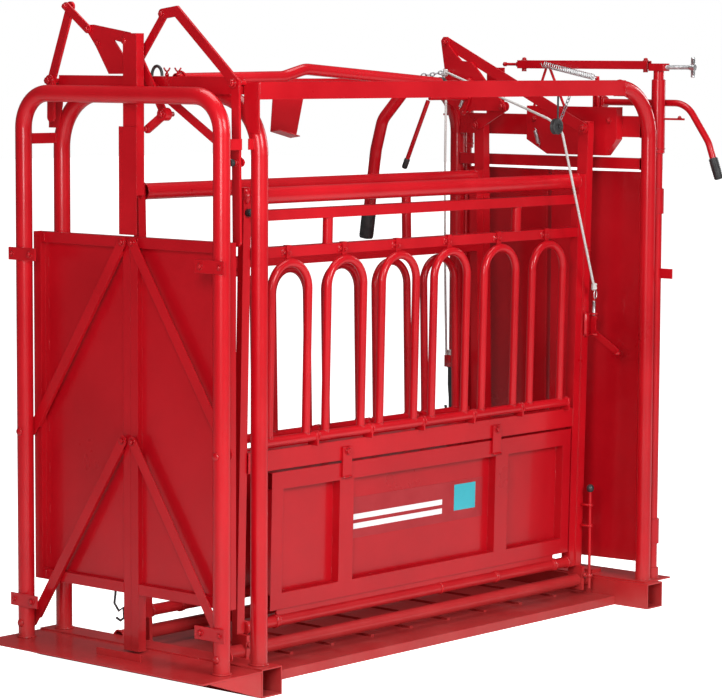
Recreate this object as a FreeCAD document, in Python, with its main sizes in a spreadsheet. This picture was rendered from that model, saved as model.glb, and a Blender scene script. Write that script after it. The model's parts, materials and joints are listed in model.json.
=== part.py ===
import FreeCAD, Part
import math
import os
import re
import Sketcher

# Cattle squeeze chute.  +X runs from the tailgate to the head gate, +Y is the animal's left, +Z is up.
# The origin lies on the ground under the middle of the floor pan.  Millimetres throughout.

DIMENSIONS = {
    # main frame: round pipe hoops and legs, square rails
    "leg_spacing": 990, "pipe_outer": 60.3, "pipe_wall": 4, "rail_side": 60, "rail_wall": 3,
    "skid_spacing": 2265, "skid_side": 101.6, "skid_wall": 5, "skid_reach": 1128,
    "rear_hoop_x": -1313, "inner_hoop_x": -1126, "front_leg_x": 1143, "hoop_height": 2077,
    "rear_hoop_bend": 125, "inner_hoop_bend": 200, "leg_bend": 200, "rail_height": 2095,
    # base plates and floor pan
    "plate_thick": 6, "rear_plate_top": 96, "rear_plate_end": -1476, "front_plate_start": 1095,
    "front_plate_end": 1274, "floor_width": 800, "floor_top": 35, "floor_sheet": 3,
    "bearer_width": 80, "cleat_pitch": 225, "cleat_height": 9,
    # tailgate: two half doors on parallelogram links
    "door_x": -1244.5, "door_depth": 37, "post_side": 36, "left_door_reach": 500, "right_door_reach": 480,
    "door_top": 1578, "door_bottom": 308, "door_rail": 38, "post_foot": 102, "sheet_thick": 2,
    "link_x": -1281,
    "link_width": 38, "link_thick": 5, "link_flange": 15, "link_foot_high": 853, "link_foot_low": 150,
    "link_head_high": 1559, "link_head_low": 856, "link_head_y": 25, "mast_width": 68,
    "mast_bottom": 1725, "mast_top": 2290, "tongue_bottom": 1585,
    # tailgate drive in the plane between the two hoops
    "rocker_x": -1223, "rocker_thick": 6, "lever_x": -1212, "lever_thick": 10, "lever_width": 36,
    "lever_pivot_y": 460, "lever_pivot_z": 2121, "tie_width": 30, "tie_thick": 6,
    "front_tie_x": -1233, "drive_link_x": -1200, "cross_tie_x": -1190, "channel_x": -1168.5,
    "crank_pivot_y": -116, "crank_pivot_z": 2009, "rocker_pivot_y": 46, "rocker_pivot_z": 2263,
    # squeeze sides, before they are leaned outwards by side_lean degrees
    "side_lean": 1.17, "side_y": 232, "side_thick": 38, "side_rear_x": -976, "side_front_x": 1006,
    "pivot_y": 252, "pivot_z": 92, "pivot_outer": 50.8, "hinge_y": 240, "hinge_z": 172,
    "hinge_outer": 42.4, "hinge_pin": 32, "panel_rear_x": -811, "panel_front_x": 957,
    "beam_low": 730, "beam_high": 804, "slat_height": 38, "foot_y": 264, "foot_z": 838,
    "foot_outer": 35, "foot_pin": 18, "foot_pitch": 301, "foot_start": -900, "foot_gap": 11,
    "left_foot_start": -876, "left_drop": 82,
    "loop_outer": 31, "loop_wall": 3, "loop_bend": 98, "loop_top": 1477,
    # squeeze ratchet and its handle
    "ratchet_x": 980, "ratchet_thick": 10, "arm_thick": 6, "long_arm_x": 991, "short_link_x": 998,
    "shaft_y": 300, "shaft_z": 2105, "shaft_outer": 25, "handle_x": 624, "handle_outer": 48,
    "release_x": 724, "release_outer": 18,
    # head gate
    "gate_x": 1204, "gate_pipe": 42.4, "gate_width": 488, "gate_angle": 6, "gate_low": 170,
    "gate_high": 1755, "beam_depth": 40, "beam_reach": 464.8,
    "gate_lever_x": 1249, "gate_lever_outer": 27, "cover_x": 1083, "cover_depth": 40,
    # release ropes
    "rope_diameter": 10,
}

LEFT = 1
RIGHT = -1
RUNNING_CLEARANCE = 0.2     # on a diameter, wherever a part turns on a pin
DROP_BARS = 6               # on each side
Vector = FreeCAD.Vector

doc = FreeCAD.newDocument("SqueezeChute")
sheet = doc.addObject("Spreadsheet::Sheet", "Dims")
for row, (alias, value) in enumerate(DIMENSIONS.items(), start=1):
    sheet.set(f"A{row}", alias)
    sheet.set(f"B{row}", str(value))
    sheet.setAlias(f"B{row}", alias)
doc.recompute()
SUBPARTS = []


def dim(name):
    """A driving dimension as a number, for outlines and routes."""
    return float(sheet.get(name))


def bound(text):
    """The text of an expression, with every driving dimension read from the sheet."""
    def on_sheet(word):
        return "Dims." + word.group() if word.group() in DIMENSIONS else word.group()

    return re.sub(r"[a-z_]+", on_sheet, str(text))


def subpart(label, pieces, turn=None):
    """One named sub-part out of one or more separate solids, optionally turned about a pivot."""
    node = doc.addObject("Part::Compound", label)
    node.Links = pieces
    node.Label = label
    if turn:
        node.Placement = turn
    SUBPARTS.append(node)
    return node


# ---------------------------------------------------------------- primitives

def box(size, middle):
    """A block given by its three sizes and its middle, all of them expressions."""
    block = doc.addObject("Part::Box", "Block")
    for name, text in zip(("Length", "Width", "Height"), size):
        block.setExpression(name, bound(text))
    for axis, centre, text in zip("xyz", middle, size):
        block.setExpression(f"Placement.Base.{axis}", bound(f"{centre} - ({text}) / 2"))
    return block


ROD_TURNS = {"x": FreeCAD.Rotation(Vector(0, 1, 0), 90), "y": FreeCAD.Rotation(Vector(1, 0, 0), -90),
             "z": FreeCAD.Rotation()}


def rod(along, diameter, length, middle):
    """A round bar along x, y or z about its middle."""
    bar = doc.addObject("Part::Cylinder", "Rod")
    bar.setExpression("Radius", bound(f"({diameter}) / 2"))
    bar.setExpression("Height", bound(length))
    bar.Placement = FreeCAD.Placement(Vector(), ROD_TURNS[along])
    for axis, centre in zip("xyz", middle):
        shift = f" - ({length}) / 2" if axis == along else ""
        bar.setExpression(f"Placement.Base.{axis}", bound(f"{centre}{shift}"))
    return bar


def cut(base, tool):
    result = doc.addObject("Part::Cut", "Cut")
    result.Base = base
    result.Tool = tool
    return result


def fuse(pieces):
    result = doc.addObject("Part::MultiFuse", "Fuse")
    result.Shapes = pieces
    return result


def round_tube(along, outer, inner, length, middle):
    return cut(rod(along, outer, length, middle), rod(along, inner, f"({length}) + 2", middle))


def square_tube(along, sides, wall, length, middle):
    """A rectangular hollow section; sides are its two outer sizes in axis order."""
    order = [axis for axis in "xyz" if axis != along]
    outer = {along: length, order[0]: sides[0], order[1]: sides[1]}
    inner = {along: f"({length}) + 2"}
    for axis, side in zip(order, sides):
        inner[axis] = f"{side} - 2 * {wall}"
    return cut(box([outer[a] for a in "xyz"], middle), box([inner[a] for a in "xyz"], middle))


# ---------------------------------------------------------------- sketched bodies

def plane_of(body, role):
    return next(item for item in body.Origin.OriginFeatures if item.Role == role)


def new_sketch(body, role, offset, turn=FreeCAD.Rotation()):
    sketch = body.newObject("Sketcher::SketchObject", "Sketch")
    sketch.AttachmentSupport = (plane_of(body, role), [""])
    sketch.MapMode = "FlatFace"
    sketch.AttachmentOffset = FreeCAD.Placement(offset, turn)
    return sketch


def sketch_circle(sketch, centre, radius_text):
    """A circle whose radius follows the sheet."""
    index = sketch.addGeometry(Part.Circle(Vector(*centre, 0), Vector(0, 0, 1), 5), False)
    constraint = sketch.addConstraint(Sketcher.Constraint("Radius", index, 5))
    sketch.setExpression(f"Constraints[{constraint}]", bound(radius_text))


def rounded_route(points, radius):
    """Straight runs joined by tangent arcs of one radius, in sketch coordinates."""
    corners = [Vector(*point, 0) for point in points]
    edges = []
    start = corners[0]
    for before, corner, after in zip(corners, corners[1:], corners[2:]):
        inward = (before - corner).normalize()
        outward = (after - corner).normalize()
        half = inward.getAngle(outward) / 2
        reach = radius / math.tan(half)
        middle = (inward + outward).normalize()
        first = corner + inward * reach
        last = corner + outward * reach
        crown = corner + middle * (radius / math.sin(half) - radius)
        edges.append(Part.LineSegment(start, first))
        edges.append(Part.Arc(first, crown, last))
        start = last
    edges.append(Part.LineSegment(start, corners[-1]))
    return edges


def bent_pipe(plane, level, points, bend, outer, wall):
    """A pipe bent in one plane: plane is YZ_Plane or XZ_Plane, level its place along the plane's normal."""
    body = doc.addObject("PartDesign::Body", "BentPipe")
    depth = level if plane == "YZ_Plane" else -level
    spine = new_sketch(body, plane, Vector(0, 0, depth))
    edges = rounded_route(points, bend)
    spine.addGeometry(edges, False)
    across, height = points[0]
    run = Vector(*points[1], 0) - Vector(*points[0], 0)
    place = {"YZ_Plane": Vector(level, across, height), "XZ_Plane": Vector(across, level, height)}[plane]
    heading = {"YZ_Plane": Vector(0, run.x, run.y), "XZ_Plane": Vector(run.x, 0, run.y)}[plane]
    profile = new_sketch(body, "XY_Plane", place, FreeCAD.Rotation(Vector(0, 0, 1), heading))
    sketch_circle(profile, (0, 0), f"({outer}) / 2")
    if wall:
        sketch_circle(profile, (0, 0), f"({outer}) / 2 - {wall}")
    doc.recompute()
    pipe = body.newObject("PartDesign::AdditivePipe", "Pipe")
    pipe.Profile = profile
    pipe.Spine = (spine, [f"Edge{number + 1}" for number in range(len(edges))])
    body.Tip = pipe
    return body


def closed_outline(points):
    corners = [Vector(*point, 0) for point in points]
    return [Part.LineSegment(a, b) for a, b in zip(corners, corners[1:] + corners[:1])]


def strip_outline(points, width):
    """The outline of a flat bar that follows a few points: mitred bends and round ends."""
    spots = [Vector(*point, 0) for point in points]
    runs = [(b - a).normalize() for a, b in zip(spots, spots[1:])]
    sides = [Vector(-run.y, run.x, 0) for run in runs]
    half = width / 2
    offsets = [sides[0]]
    for before, after in zip(sides, sides[1:]):
        mitre = (before + after).normalize()
        offsets.append(mitre * (1 / mitre.dot(before)))
    offsets.append(sides[-1])
    upper = [spot + shift * half for spot, shift in zip(spots, offsets)]
    lower = [spot - shift * half for spot, shift in zip(spots, offsets)]
    outline = [Part.LineSegment(a, b) for a, b in zip(upper, upper[1:])]
    outline.append(Part.Arc(upper[-1], spots[-1] + runs[-1] * half, lower[-1]))
    lower.reverse()
    outline += [Part.LineSegment(a, b) for a, b in zip(lower, lower[1:])]
    outline.append(Part.Arc(lower[-1], spots[0] - runs[0] * half, upper[0]))
    return outline


def flat_plate(plane, level, outline, thick, holes=()):
    """A plate with a sketched outline, from level towards +X (YZ_Plane) or -Y (XZ_Plane)."""
    body = doc.addObject("PartDesign::Body", "Plate")
    depth = level if plane == "YZ_Plane" else -level
    sketch = new_sketch(body, plane, Vector(0, 0, depth))
    sketch.addGeometry(outline, False)
    for centre, radius_text in holes:
        sketch_circle(sketch, centre, radius_text)
    doc.recompute()
    pad = body.newObject("PartDesign::Pad", "Pad")
    pad.Profile = sketch
    pad.setExpression("Length", bound(thick))
    body.Tip = pad
    return body


# ---------------------------------------------------------------- base, floor and main frame

def rear_base():
    skid = square_tube("y", ("skid_side", "skid_side"), "skid_wall", "skid_reach",
                       ("-skid_spacing / 2", "0", "skid_side / 2"))
    back = "(skid_spacing + skid_side) / 2"
    plate = box((f"-rear_plate_end - {back}", "skid_reach", "plate_thick"),
                (f"(rear_plate_end - {back}) / 2", "0", "rear_plate_top - plate_thick / 2"))
    edge = -(dim("skid_spacing") + dim("skid_side")) / 2
    under = dim("rear_plate_top") - dim("plate_thick")
    gusset = [(edge, 0), (edge, under), (dim("rear_plate_end") + 30, under)]
    gussets = [flat_plate("XZ_Plane", y, closed_outline(gusset), "plate_thick")
               for y in (562, 190, -184, -556)]
    guide = box(("6", "223", "26"), ("-1360", "-37", "rear_plate_top + 13"))
    return subpart("rear_base", [skid, plate, guide] + gussets)


def front_base():
    skid = square_tube("y", ("skid_side", "skid_side"), "skid_wall", "skid_reach",
                       ("skid_spacing / 2", "0", "skid_side / 2"))
    plate = box(("front_plate_end - front_plate_start", "skid_reach - 48", "plate_thick"),
                ("(front_plate_end + front_plate_start) / 2", "0", "skid_side + plate_thick / 2"))
    stops = [box(("60", "70", "16"), ("1140", f"{side} * 230", "skid_side + plate_thick + 8"))
             for side in (LEFT, RIGHT)]
    return subpart("front_base", [skid, plate] + stops)


def floor_pan():
    """Cleated floor between the skids, with the two tubes the squeeze sides turn on."""
    length = "skid_spacing - skid_side"
    top = box((length, "floor_width", "floor_sheet"), ("0", "0", "floor_top - floor_sheet / 2"))
    under = "floor_top - floor_sheet"
    edges = [box((length, "6", under), ("0", f"{side} * (floor_width / 2 - 3)", f"({under}) / 2"))
             for side in (LEFT, RIGHT)]
    bearers = [square_tube("y", ("bearer_width", under), "3", "floor_width - 12", (x, "0", f"({under}) / 2"))
               for x in ("-700", "0", "700")]
    cleats = []
    for number in range(9):
        x = f"({number} - 4) * cleat_pitch"
        cleats.append(box(("18", "floor_width - 330", "cleat_height"),
                          (x, "0", "floor_top + cleat_height / 2")))
    tubes = [round_tube("x", "pivot_outer", "pivot_outer - 8", length, ("0", f"{side} * pivot_y", "pivot_z"))
             for side in (LEFT, RIGHT)]
    return subpart("floor_pan", [top] + edges + bearers + cleats + tubes)


def hoop(label, x_name, foot, bend):
    half = dim("leg_spacing") / 2
    route = [(-half, foot), (-half, dim("hoop_height")), (half, dim("hoop_height")), (half, foot)]
    return subpart(label, [bent_pipe("YZ_Plane", dim(x_name), route, dim(bend), "pipe_outer", "pipe_wall")])


def top_rail(label, side):
    """Square rail over the inner hoop, running into a round front leg."""
    bend_start = "front_leg_x - leg_bend"
    start = "inner_hoop_x - pipe_outer / 2"
    rail = square_tube("x", ("rail_side", "rail_side"), "rail_wall", f"{bend_start} - ({start})",
                       (f"({bend_start} + {start}) / 2", f"{side} * leg_spacing / 2", "rail_height"))
    foot = dim("skid_side") + dim("plate_thick")
    corner = (dim("front_leg_x"), dim("rail_height"))
    route = [(corner[0] - dim("leg_bend"), corner[1]), corner, (corner[0], foot)]
    leg = bent_pipe("XZ_Plane", side * dim("leg_spacing") / 2, route, dim("leg_bend") - 1,
                    "pipe_outer", "pipe_wall")
    return subpart(label, [rail, leg])


def tail_frame():
    """What is welded between and onto the two hoops: mast, channel, spacers, gussets and hook straps."""
    gap_start = "rear_hoop_x + pipe_outer / 2"
    gap_end = "inner_hoop_x - pipe_outer / 2"
    pieces = [square_tube("z", ("door_depth", "mast_width"), "3", "mast_top - mast_bottom",
                          ("door_x", "0", "(mast_top + mast_bottom) / 2"))]
    pieces.append(box(("door_x - door_depth / 2 - (rear_hoop_x + pipe_outer / 2)", "40", "30"),
                      (f"({gap_start} + door_x - door_depth / 2) / 2", "0", "hoop_height")))
    pieces.append(box(("25", "leg_spacing - 90", "60"), ("channel_x", "0", "hoop_height + 34")))
    # a thin tongue carries on down behind the doors, which rise between it and the inner hoop
    pieces.append(box(("2", "88", "1965 - tongue_bottom"),
                      ("door_x - door_depth / 2 - 1", "10", "(1965 + tongue_bottom) / 2")))
    for side in (LEFT, RIGHT):
        y = f"{side} * leg_spacing / 2"
        if side == LEFT:
            spacers = [(gap_start, gap_end)]
        else:   # the long top lever and its cross tie swing out through a slot in the right spacer
            spacers = [(gap_start, "lever_x - 4"), ("cross_tie_x + tie_thick + 3", gap_end)]
        for start, end in spacers:
            pieces.append(box((f"{end} - ({start})", "6", "38"), (f"({end} + {start}) / 2", y, "1913")))
        back = "rear_hoop_x - pipe_outer / 2 - 3"
        for height in ("1500", "237"):
            pieces.append(box(("6", "140", "46"), (back, f"{side} * 470", height)))
        inner = side * (dim("leg_spacing") / 2 - 40)
        outer = side * (dim("leg_spacing") / 2 + 30)
        corners = [(outer, 1950), (outer, 2125), (inner, 2125), (inner, 2035), (inner + side * 20, 1950)]
        level = dim("inner_hoop_x") - dim("pipe_outer") / 2 - dim("plate_thick")
        pieces.append(flat_plate("YZ_Plane", level, closed_outline(corners), "plate_thick"))
    for y in ("lever_pivot_y", "-lever_pivot_y"):
        pieces.append(rod("x", "16", "60", ("lever_x + 19.5", y, "lever_pivot_z")))
    return subpart("tail_frame", pieces)


# ---------------------------------------------------------------- tailgate

def tail_door(label, side):
    post = square_tube("z", ("door_depth", "post_side"), "3", "door_top - post_foot",
                       ("door_x", f"{side} * (post_side / 2 + 0.5)", "(door_top + post_foot) / 2"))
    inner = "(post_side + 0.5)"
    reach = "left_door_reach" if side == LEFT else "right_door_reach"
    stile_at = f"{reach} - door_rail / 2"
    stile = square_tube("z", ("door_depth", "door_rail"), "3", "door_top - door_bottom",
                        ("door_x", f"{side} * ({stile_at})", "(door_top + door_bottom) / 2"))
    width = f"{reach} - door_rail - {inner}"
    middle = f"{side} * ({reach} - door_rail + {inner}) / 2"
    rails = [square_tube("y", ("door_depth", "door_rail"), "3", width, ("door_x", middle, height))
             for height in ("door_top - door_rail / 2", "door_bottom + door_rail / 2")]
    panel = box(("sheet_thick", width, "door_top - door_bottom - 2 * door_rail"),
                ("door_x + 4", middle, "(door_top + door_bottom) / 2"))
    return subpart(label, [post, stile, panel] + rails)


def tail_link(label, side, foot_name, head_name):
    """Angle-iron link from a hoop leg up to the door's post."""
    foot = (side * dim("leg_spacing") / 2, dim(foot_name))
    head = (side * dim("link_head_y"), dim(head_name))
    hole = "8.1"
    face = flat_plate("YZ_Plane", dim("link_x"), strip_outline([foot, head], dim("link_width")), "link_thick",
                      [(foot, hole), (head, hole)])
    run = Vector(*head, 0) - Vector(*foot, 0)
    run.normalize()
    across = Vector(-run.y, run.x, 0) * (side * (dim("link_width") - dim("link_thick")) / 2)
    start = Vector(*foot, 0) + across + run * 30
    end = Vector(*head, 0) + across - run * 30
    flange = flat_plate("YZ_Plane", dim("link_x") + dim("link_thick"),
                        strip_outline([(start.x, start.y), (end.x, end.y)], dim("link_thick")),
                        "link_flange - link_thick")
    return subpart(label, [fuse([face, flange])])


def top_lever(label, side):
    """Bell lever on the hoops; the right one carries a long arm down to the door's top corner."""
    pivot = (side * dim("lever_pivot_y"), dim("lever_pivot_z"))
    if side == LEFT:
        route = [(358, 2386), pivot, (462, 1990)]
    else:
        route = [(-108, 2357), (-176, 2366), pivot, (-467, 1580)]
    plate = flat_plate("YZ_Plane", dim("lever_x"), strip_outline(route, dim("lever_width")), "lever_thick",
                       [(pivot, "8.1"), (route[0], "6")])
    return subpart(label, [plate])


def rocker():
    pivot = (dim("rocker_pivot_y"), dim("rocker_pivot_z"))
    outline = closed_outline([(262, 2302), (250, 2320), (226, 2321), (40, 2293), (26, 2266), (34, 2250),
                              (72, 2256), (121, 2267), (70, 2210), (58, 2205), (58, 2148), (147, 2147),
                              (214, 2246)])
    return subpart("rocker", [flat_plate("YZ_Plane", dim("rocker_x"), outline, "rocker_thick",
                                         [(pivot, "5"), ((244, 2303), "5"), ((201, 2256), "5")])])


def tie_bar(label, level, thick, start, end):
    plate = flat_plate("YZ_Plane", level, strip_outline([start, end], dim("tie_width")), thick,
                       [(start, "5"), (end, "5")])
    return subpart(label, [plate])


def bell_crank():
    hub = (dim("crank_pivot_y"), dim("crank_pivot_z"))
    arms = []
    for end in ((11, 2207), (-33, 1956)):
        arms.append(flat_plate("YZ_Plane", dim("lever_x"), strip_outline([hub, end], dim("tie_width")),
                               "lever_thick"))
    boss = rod("x", "46", "30", ("lever_x + 5", "crank_pivot_y", "crank_pivot_z"))
    return subpart("bell_crank", [fuse(arms + [boss])])


def tail_handle():
    """Bent pipe lying over the top, with a folded sheet flag under its bend."""
    route = [(-1150, 2131), (-600, 2138), (-481, 2166), (300, 2112)]
    pipe = bent_pipe("XZ_Plane", dim("crank_pivot_y"), route, 120, "gate_pipe", "3")
    outline = [(-652, 2112), (-480, 2112), (-530, 1930), (-560, 1915), (-668, 1940)]
    flag = flat_plate("XZ_Plane", dim("crank_pivot_y"), closed_outline(outline), "4")
    return subpart("tail_handle", [pipe, flag])


# ---------------------------------------------------------------- squeeze sides

def lean(side):
    """The side panels stand a little open at the top, turned about their pivot tubes."""
    pivot = Vector(0, side * dim("pivot_y"), dim("pivot_z"))
    turn = FreeCAD.Rotation(Vector(1, 0, 0), -side * dim("side_lean"))
    return FreeCAD.Placement(pivot - turn.multVec(pivot), turn)


def drop(side):
    """Beam, slat and drop bars of the left side sit lower than those of the right side."""
    return "left_drop" if side > 0 else "0"


def first_foot(side):
    return "left_foot_start" if side > 0 else "foot_start"


def side_frame(label, side):
    y = f"{side} * side_y"
    low = "hinge_z - hinge_outer / 2"
    top = "1749"
    stile_x = "side_front_x - 40"
    post_end = "side_rear_x + 38"
    pieces = [square_tube("z", ("38", "26"), "2.5", f"{top} - 152",
                          ("side_rear_x + 19", y, f"({top} + 152) / 2")),
              square_tube("z", ("40", "side_thick"), "3", f"{top} - ({low})",
                          ("side_front_x - 20", y, f"({top} + {low}) / 2")),
              square_tube("z", ("38", "50"), "4", "1955 - 152", ("side_front_x + 19", y, "(1955 + 152) / 2"))]
    length = f"{stile_x} - ({post_end})"
    middle = f"({stile_x} + {post_end}) / 2"
    slats = [f"(1516 - {drop(side)})"]
    posts = [("-517", "1535", "1630"), ("588", "1535", "1630")]
    if side > 0:
        posts = [("-517", "(1535 - left_drop)", "1697"), ("540", "(1535 - left_drop)", "1697")]
    else:
        slats.append("1649")
    for height in slats:
        pieces.append(square_tube("x", ("side_thick", "slat_height"), "2.5", length, (middle, y, height)))
    pieces.append(square_tube("x", ("side_thick", "beam_high - beam_low"), "3", length,
                              (middle, y, f"((beam_high + beam_low) / 2 - {drop(side)})")))
    pieces.append(round_tube("x", "60.3", "52.3", length, (middle, y, "1719")))
    for x, bottom, top_end in posts:
        post = round_tube("z", "38", "33", f"{top_end} - {bottom}", (x, y, f"({top_end} + {bottom}) / 2"))
        pieces.append(cut(post, rod("x", "60.3", "80", (x, y, "1719"))))
    hinge_y = f"{side} * hinge_y"
    ends = [rod("x", "hinge_outer", f"-771 - ({post_end})", (f"({post_end} - 771) / 2", hinge_y, "hinge_z")),
            rod("x", "hinge_outer", f"{stile_x} - 871", (f"({stile_x} + 871) / 2", hinge_y, "hinge_z")),
            rod("x", "hinge_pin", length, (middle, hinge_y, "hinge_z"))]
    pieces.append(fuse(ends))
    foot_y = f"{side} * foot_y"
    foot_length = f"{DROP_BARS} * foot_pitch"
    start = first_foot(side)
    foot_z = f"(foot_z - {drop(side)})"
    axle = [rod("x", "foot_pin", foot_length, (f"{start} + {foot_length} / 2", foot_y, foot_z))]
    for number in range(DROP_BARS + 1):
        axle.append(box(("foot_gap - 3", "46", "50"),
                        (f"{start} + {number} * foot_pitch", f"{side} * 256",
                         f"(beam_high + 25 - {drop(side)})")))
    pieces.append(fuse(axle))
    for x in ("side_rear_x + 19", "side_front_x + 19"):
        lug = box(("16", "72", "98"), (x, f"{side} * 246", "103"))
        pieces.append(cut(lug, rod("x", "pivot_outer + 0.2", "30", (x, f"{side} * pivot_y", "pivot_z"))))
    return subpart(label, pieces, lean(side))


def lower_panel(label, side):
    y = f"{side} * 233.5"
    length = "panel_front_x - panel_rear_x"
    middle = "(panel_front_x + panel_rear_x) / 2"
    pieces = [square_tube("x", ("35", "64"), "2.5", length, (middle, y, f"(688 - {drop(side)})")),
              square_tube("x", ("35", "60"), "2.5", length, (middle, y, "245")),
              box((length, "sheet_thick", f"(505 - {drop(side)})"),
                  (middle, f"{side} * (216 - sheet_thick / 2)", f"(467.5 - {drop(side)} / 2)"))]
    stiles = (("-781", "60"), ("-404", "78"), ("515", "80"), ("931.5", "51"))
    for x, width in stiles:
        pieces.append(square_tube("z", (width, "35"), "2.5", f"(381 - {drop(side)})",
                                  (x, y, f"(465.5 - {drop(side)} / 2)")))
    knuckles = [("-770", "149"), ("151", "869")]
    for start, end in knuckles:
        pieces.append(round_tube("x", "hinge_outer", f"hinge_pin + {RUNNING_CLEARANCE}", f"{end} - ({start})",
                                 (f"({start} + {end}) / 2", f"{side} * hinge_y", "hinge_z")))
    web = box(("1636", "8", "24"), ("49", f"{side} * 240", "203"))
    pieces.append(cut(web, rod("x", "hinge_outer", "1700", ("49", f"{side} * hinge_y", "hinge_z"))))
    return subpart(label, pieces, lean(side))


def panel_latch(label, side, x):
    strap = box(("50", "8", "112"), (x, f"{side} * 255.5", f"(723 - {drop(side)})"))
    bolt = rod("y", "18", "10", (x, f"{side} * 264.5", f"(763 - {drop(side)})"))
    return subpart(label, [strap, bolt], lean(side))


def drop_bar(label, side, number):
    """Inverted-U bar on its own hinge tube, with the strap that catches the rail above it."""
    lowered = dim("left_drop") if side > 0 else 0
    centre = dim(first_foot(side)) + (number + 0.5) * dim("foot_pitch")
    bend = dim("loop_bend")
    foot = dim("foot_z") - lowered
    top = dim("loop_top") - lowered
    route = [(centre - bend, foot), (centre - bend, top), (centre + bend, top), (centre + bend, foot)]
    loop = bent_pipe("XZ_Plane", side * dim("foot_y"), route, bend - 1, "loop_outer", "loop_wall")
    x = f"{first_foot(side)} + ({number} + 0.5) * foot_pitch"
    at = (x, f"{side} * foot_y", f"(foot_z - {drop(side)})")
    tube = rod("x", "foot_outer", "foot_pitch - foot_gap", at)
    strap = box(("24", "6", "70"), (x, f"{side} * 254.5", f"(1505 - {drop(side)})"))
    bar = cut(fuse([loop, tube, strap]), rod("x", f"foot_pin + {RUNNING_CLEARANCE}", "foot_pitch", at))
    return subpart(label, [bar], lean(side))


# ---------------------------------------------------------------- squeeze drive

def ratchet_plate():
    teeth = [(352 - 11 * step, 1984 if step % 2 else 1992) for step in range(7)]
    upper_edge = [(111, 1994), (111, 2018), (180, 2078), (228, 2128), (250, 2152), (293, 2193), (346, 2197),
                  (384, 2230)]
    eye = [(414, 2262), (412, 2282), (424, 2296), (442, 2296), (455, 2280), (432, 2147), (448, 2047),
           (430, 2030)]
    outline = closed_outline(eye + teeth + upper_edge)
    plate = flat_plate("YZ_Plane", dim("ratchet_x"), outline, "ratchet_thick")
    shaft = rod("x", "shaft_outer", "ratchet_x - handle_x",
                ("(ratchet_x + handle_x) / 2", "shaft_y", "shaft_z"))
    stub = rod("x", "shaft_outer", "172", ("ratchet_x + ratchet_thick + 86", "shaft_y", "shaft_z"))
    return subpart("ratchet_plate", [plate, shaft, stub])


def squeeze_handle():
    x = dim("handle_x")
    route = [(300, 2105), (443, 1958), (478, 1835), (516, 1570)]
    pipe = bent_pipe("YZ_Plane", x - dim("handle_outer") / 2 - 0.5, route, 90, "handle_outer", "4")
    grip = bent_pipe("YZ_Plane", x - dim("handle_outer") / 2 - 0.5, [(516, 1570), (529.3, 1477.25)], 0,
                     "handle_outer + 6", 0)
    return subpart("squeeze_handle", [pipe, grip])


def connecting_arm(label, level, start, end, width):
    """Flat bar from the ratchet plate to the top of a squeeze side."""
    holes = [(start, "8"), (end, "8")]
    arm = flat_plate("YZ_Plane", level, strip_outline([start, end], width), "arm_thick", holes)
    return subpart(label, [arm])


def release_lever():
    route = [(307, 2035), (372, 1893), (433, 1758)]
    bar = bent_pipe("YZ_Plane", dim("release_x"), route, 600, "release_outer", 0)
    shaft = rod("x", "14", "ratchet_x - 14 - release_x", ("(ratchet_x - 14 + release_x) / 2", "300", "2044"))
    pawl = flat_plate("YZ_Plane", dim("ratchet_x") - 12, strip_outline([(300, 2044), (326, 1984)], 22), "8")
    return subpart("release_lever", [fuse([bar, shaft, pawl])])


# ---------------------------------------------------------------- head gate

def head_gate_frame():
    pieces = []
    for low, high in (("1896", "1980"), ("1768", "1812")):
        pieces.append(square_tube("y", ("beam_depth", f"{high} - {low}"), "4", "2 * beam_reach",
                                  ("front_leg_x", "0", f"({low} + {high}) / 2")))
    foot = "skid_side + plate_thick"
    for side in (LEFT, RIGHT):
        y = f"{side} * leg_spacing / 2"
        pieces.append(round_tube("z", "gate_pipe", "gate_pipe - 7", f"2145 - ({foot})",
                                 ("gate_x", y, f"(2145 + {foot}) / 2")))
        pieces.append(round_tube("z", "56", "gate_pipe", "292", ("gate_x", y, "1979")))
        pieces.append(round_tube("z", "56", "gate_pipe", "42", ("gate_x", y, f"{foot} + 21")))
        pieces.append(box(("6", "100", "8"), ("gate_x", f"{side} * (leg_spacing / 2 + 78)", "1970")))
        pieces.append(box(("8", "58", "40"), ("gate_x", f"{side} * (leg_spacing / 2 + 50.5)", "1350")))
    bearing = box(("8", "90", "190"), ("front_leg_x + 10", "shaft_y", "2075"))
    pieces.append(cut(bearing, rod("x", "shaft_outer + 0.2", "20",
                                   ("front_leg_x + 10", "shaft_y", "shaft_z"))))
    arm = box(("8", "leg_spacing / 2 - rail_side / 2 - shaft_y + 20", "40"),
              ("672", "(leg_spacing / 2 - rail_side / 2 + shaft_y - 20) / 2", "shaft_z"))
    pieces.append(cut(arm, rod("x", "shaft_outer + 0.2", "20", ("672", "shaft_y", "shaft_z"))))
    pieces.append(box(("46", "70", "30"), ("gate_x", "-leg_spacing / 2", "2176")))
    pieces.append(round_tube("z", "gate_pipe", "gate_pipe - 7", "16", ("gate_x", "-leg_spacing / 2", "2153")))
    # bracket on the upper beam that carries the head-gate lever's pivot
    pieces.append(box(("76", "44", "10"), ("1188", "-178", "1985")))
    pieces.append(box(("8", "44", "68"), ("1222", "-178", "2024")))
    return subpart("head_gate_frame", pieces)


def gate_cover():
    """Sheet cover over the middle of the two beams, open towards them."""
    outline = [(79, 2016), (79, 1879), (-28, 1821), (-322, 1821), (-378, 1887), (-378, 2016)]
    outer = flat_plate("YZ_Plane", dim("cover_x"), closed_outline(outline), "cover_depth")
    inset = [(75, 2030), (75, 1881), (-29, 1825), (-320, 1825), (-374, 1889), (-374, 2030)]
    inner = flat_plate("YZ_Plane", dim("cover_x") + 4, closed_outline(inset), "cover_depth")
    return subpart("gate_cover", [cut(outer, inner)])


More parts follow.
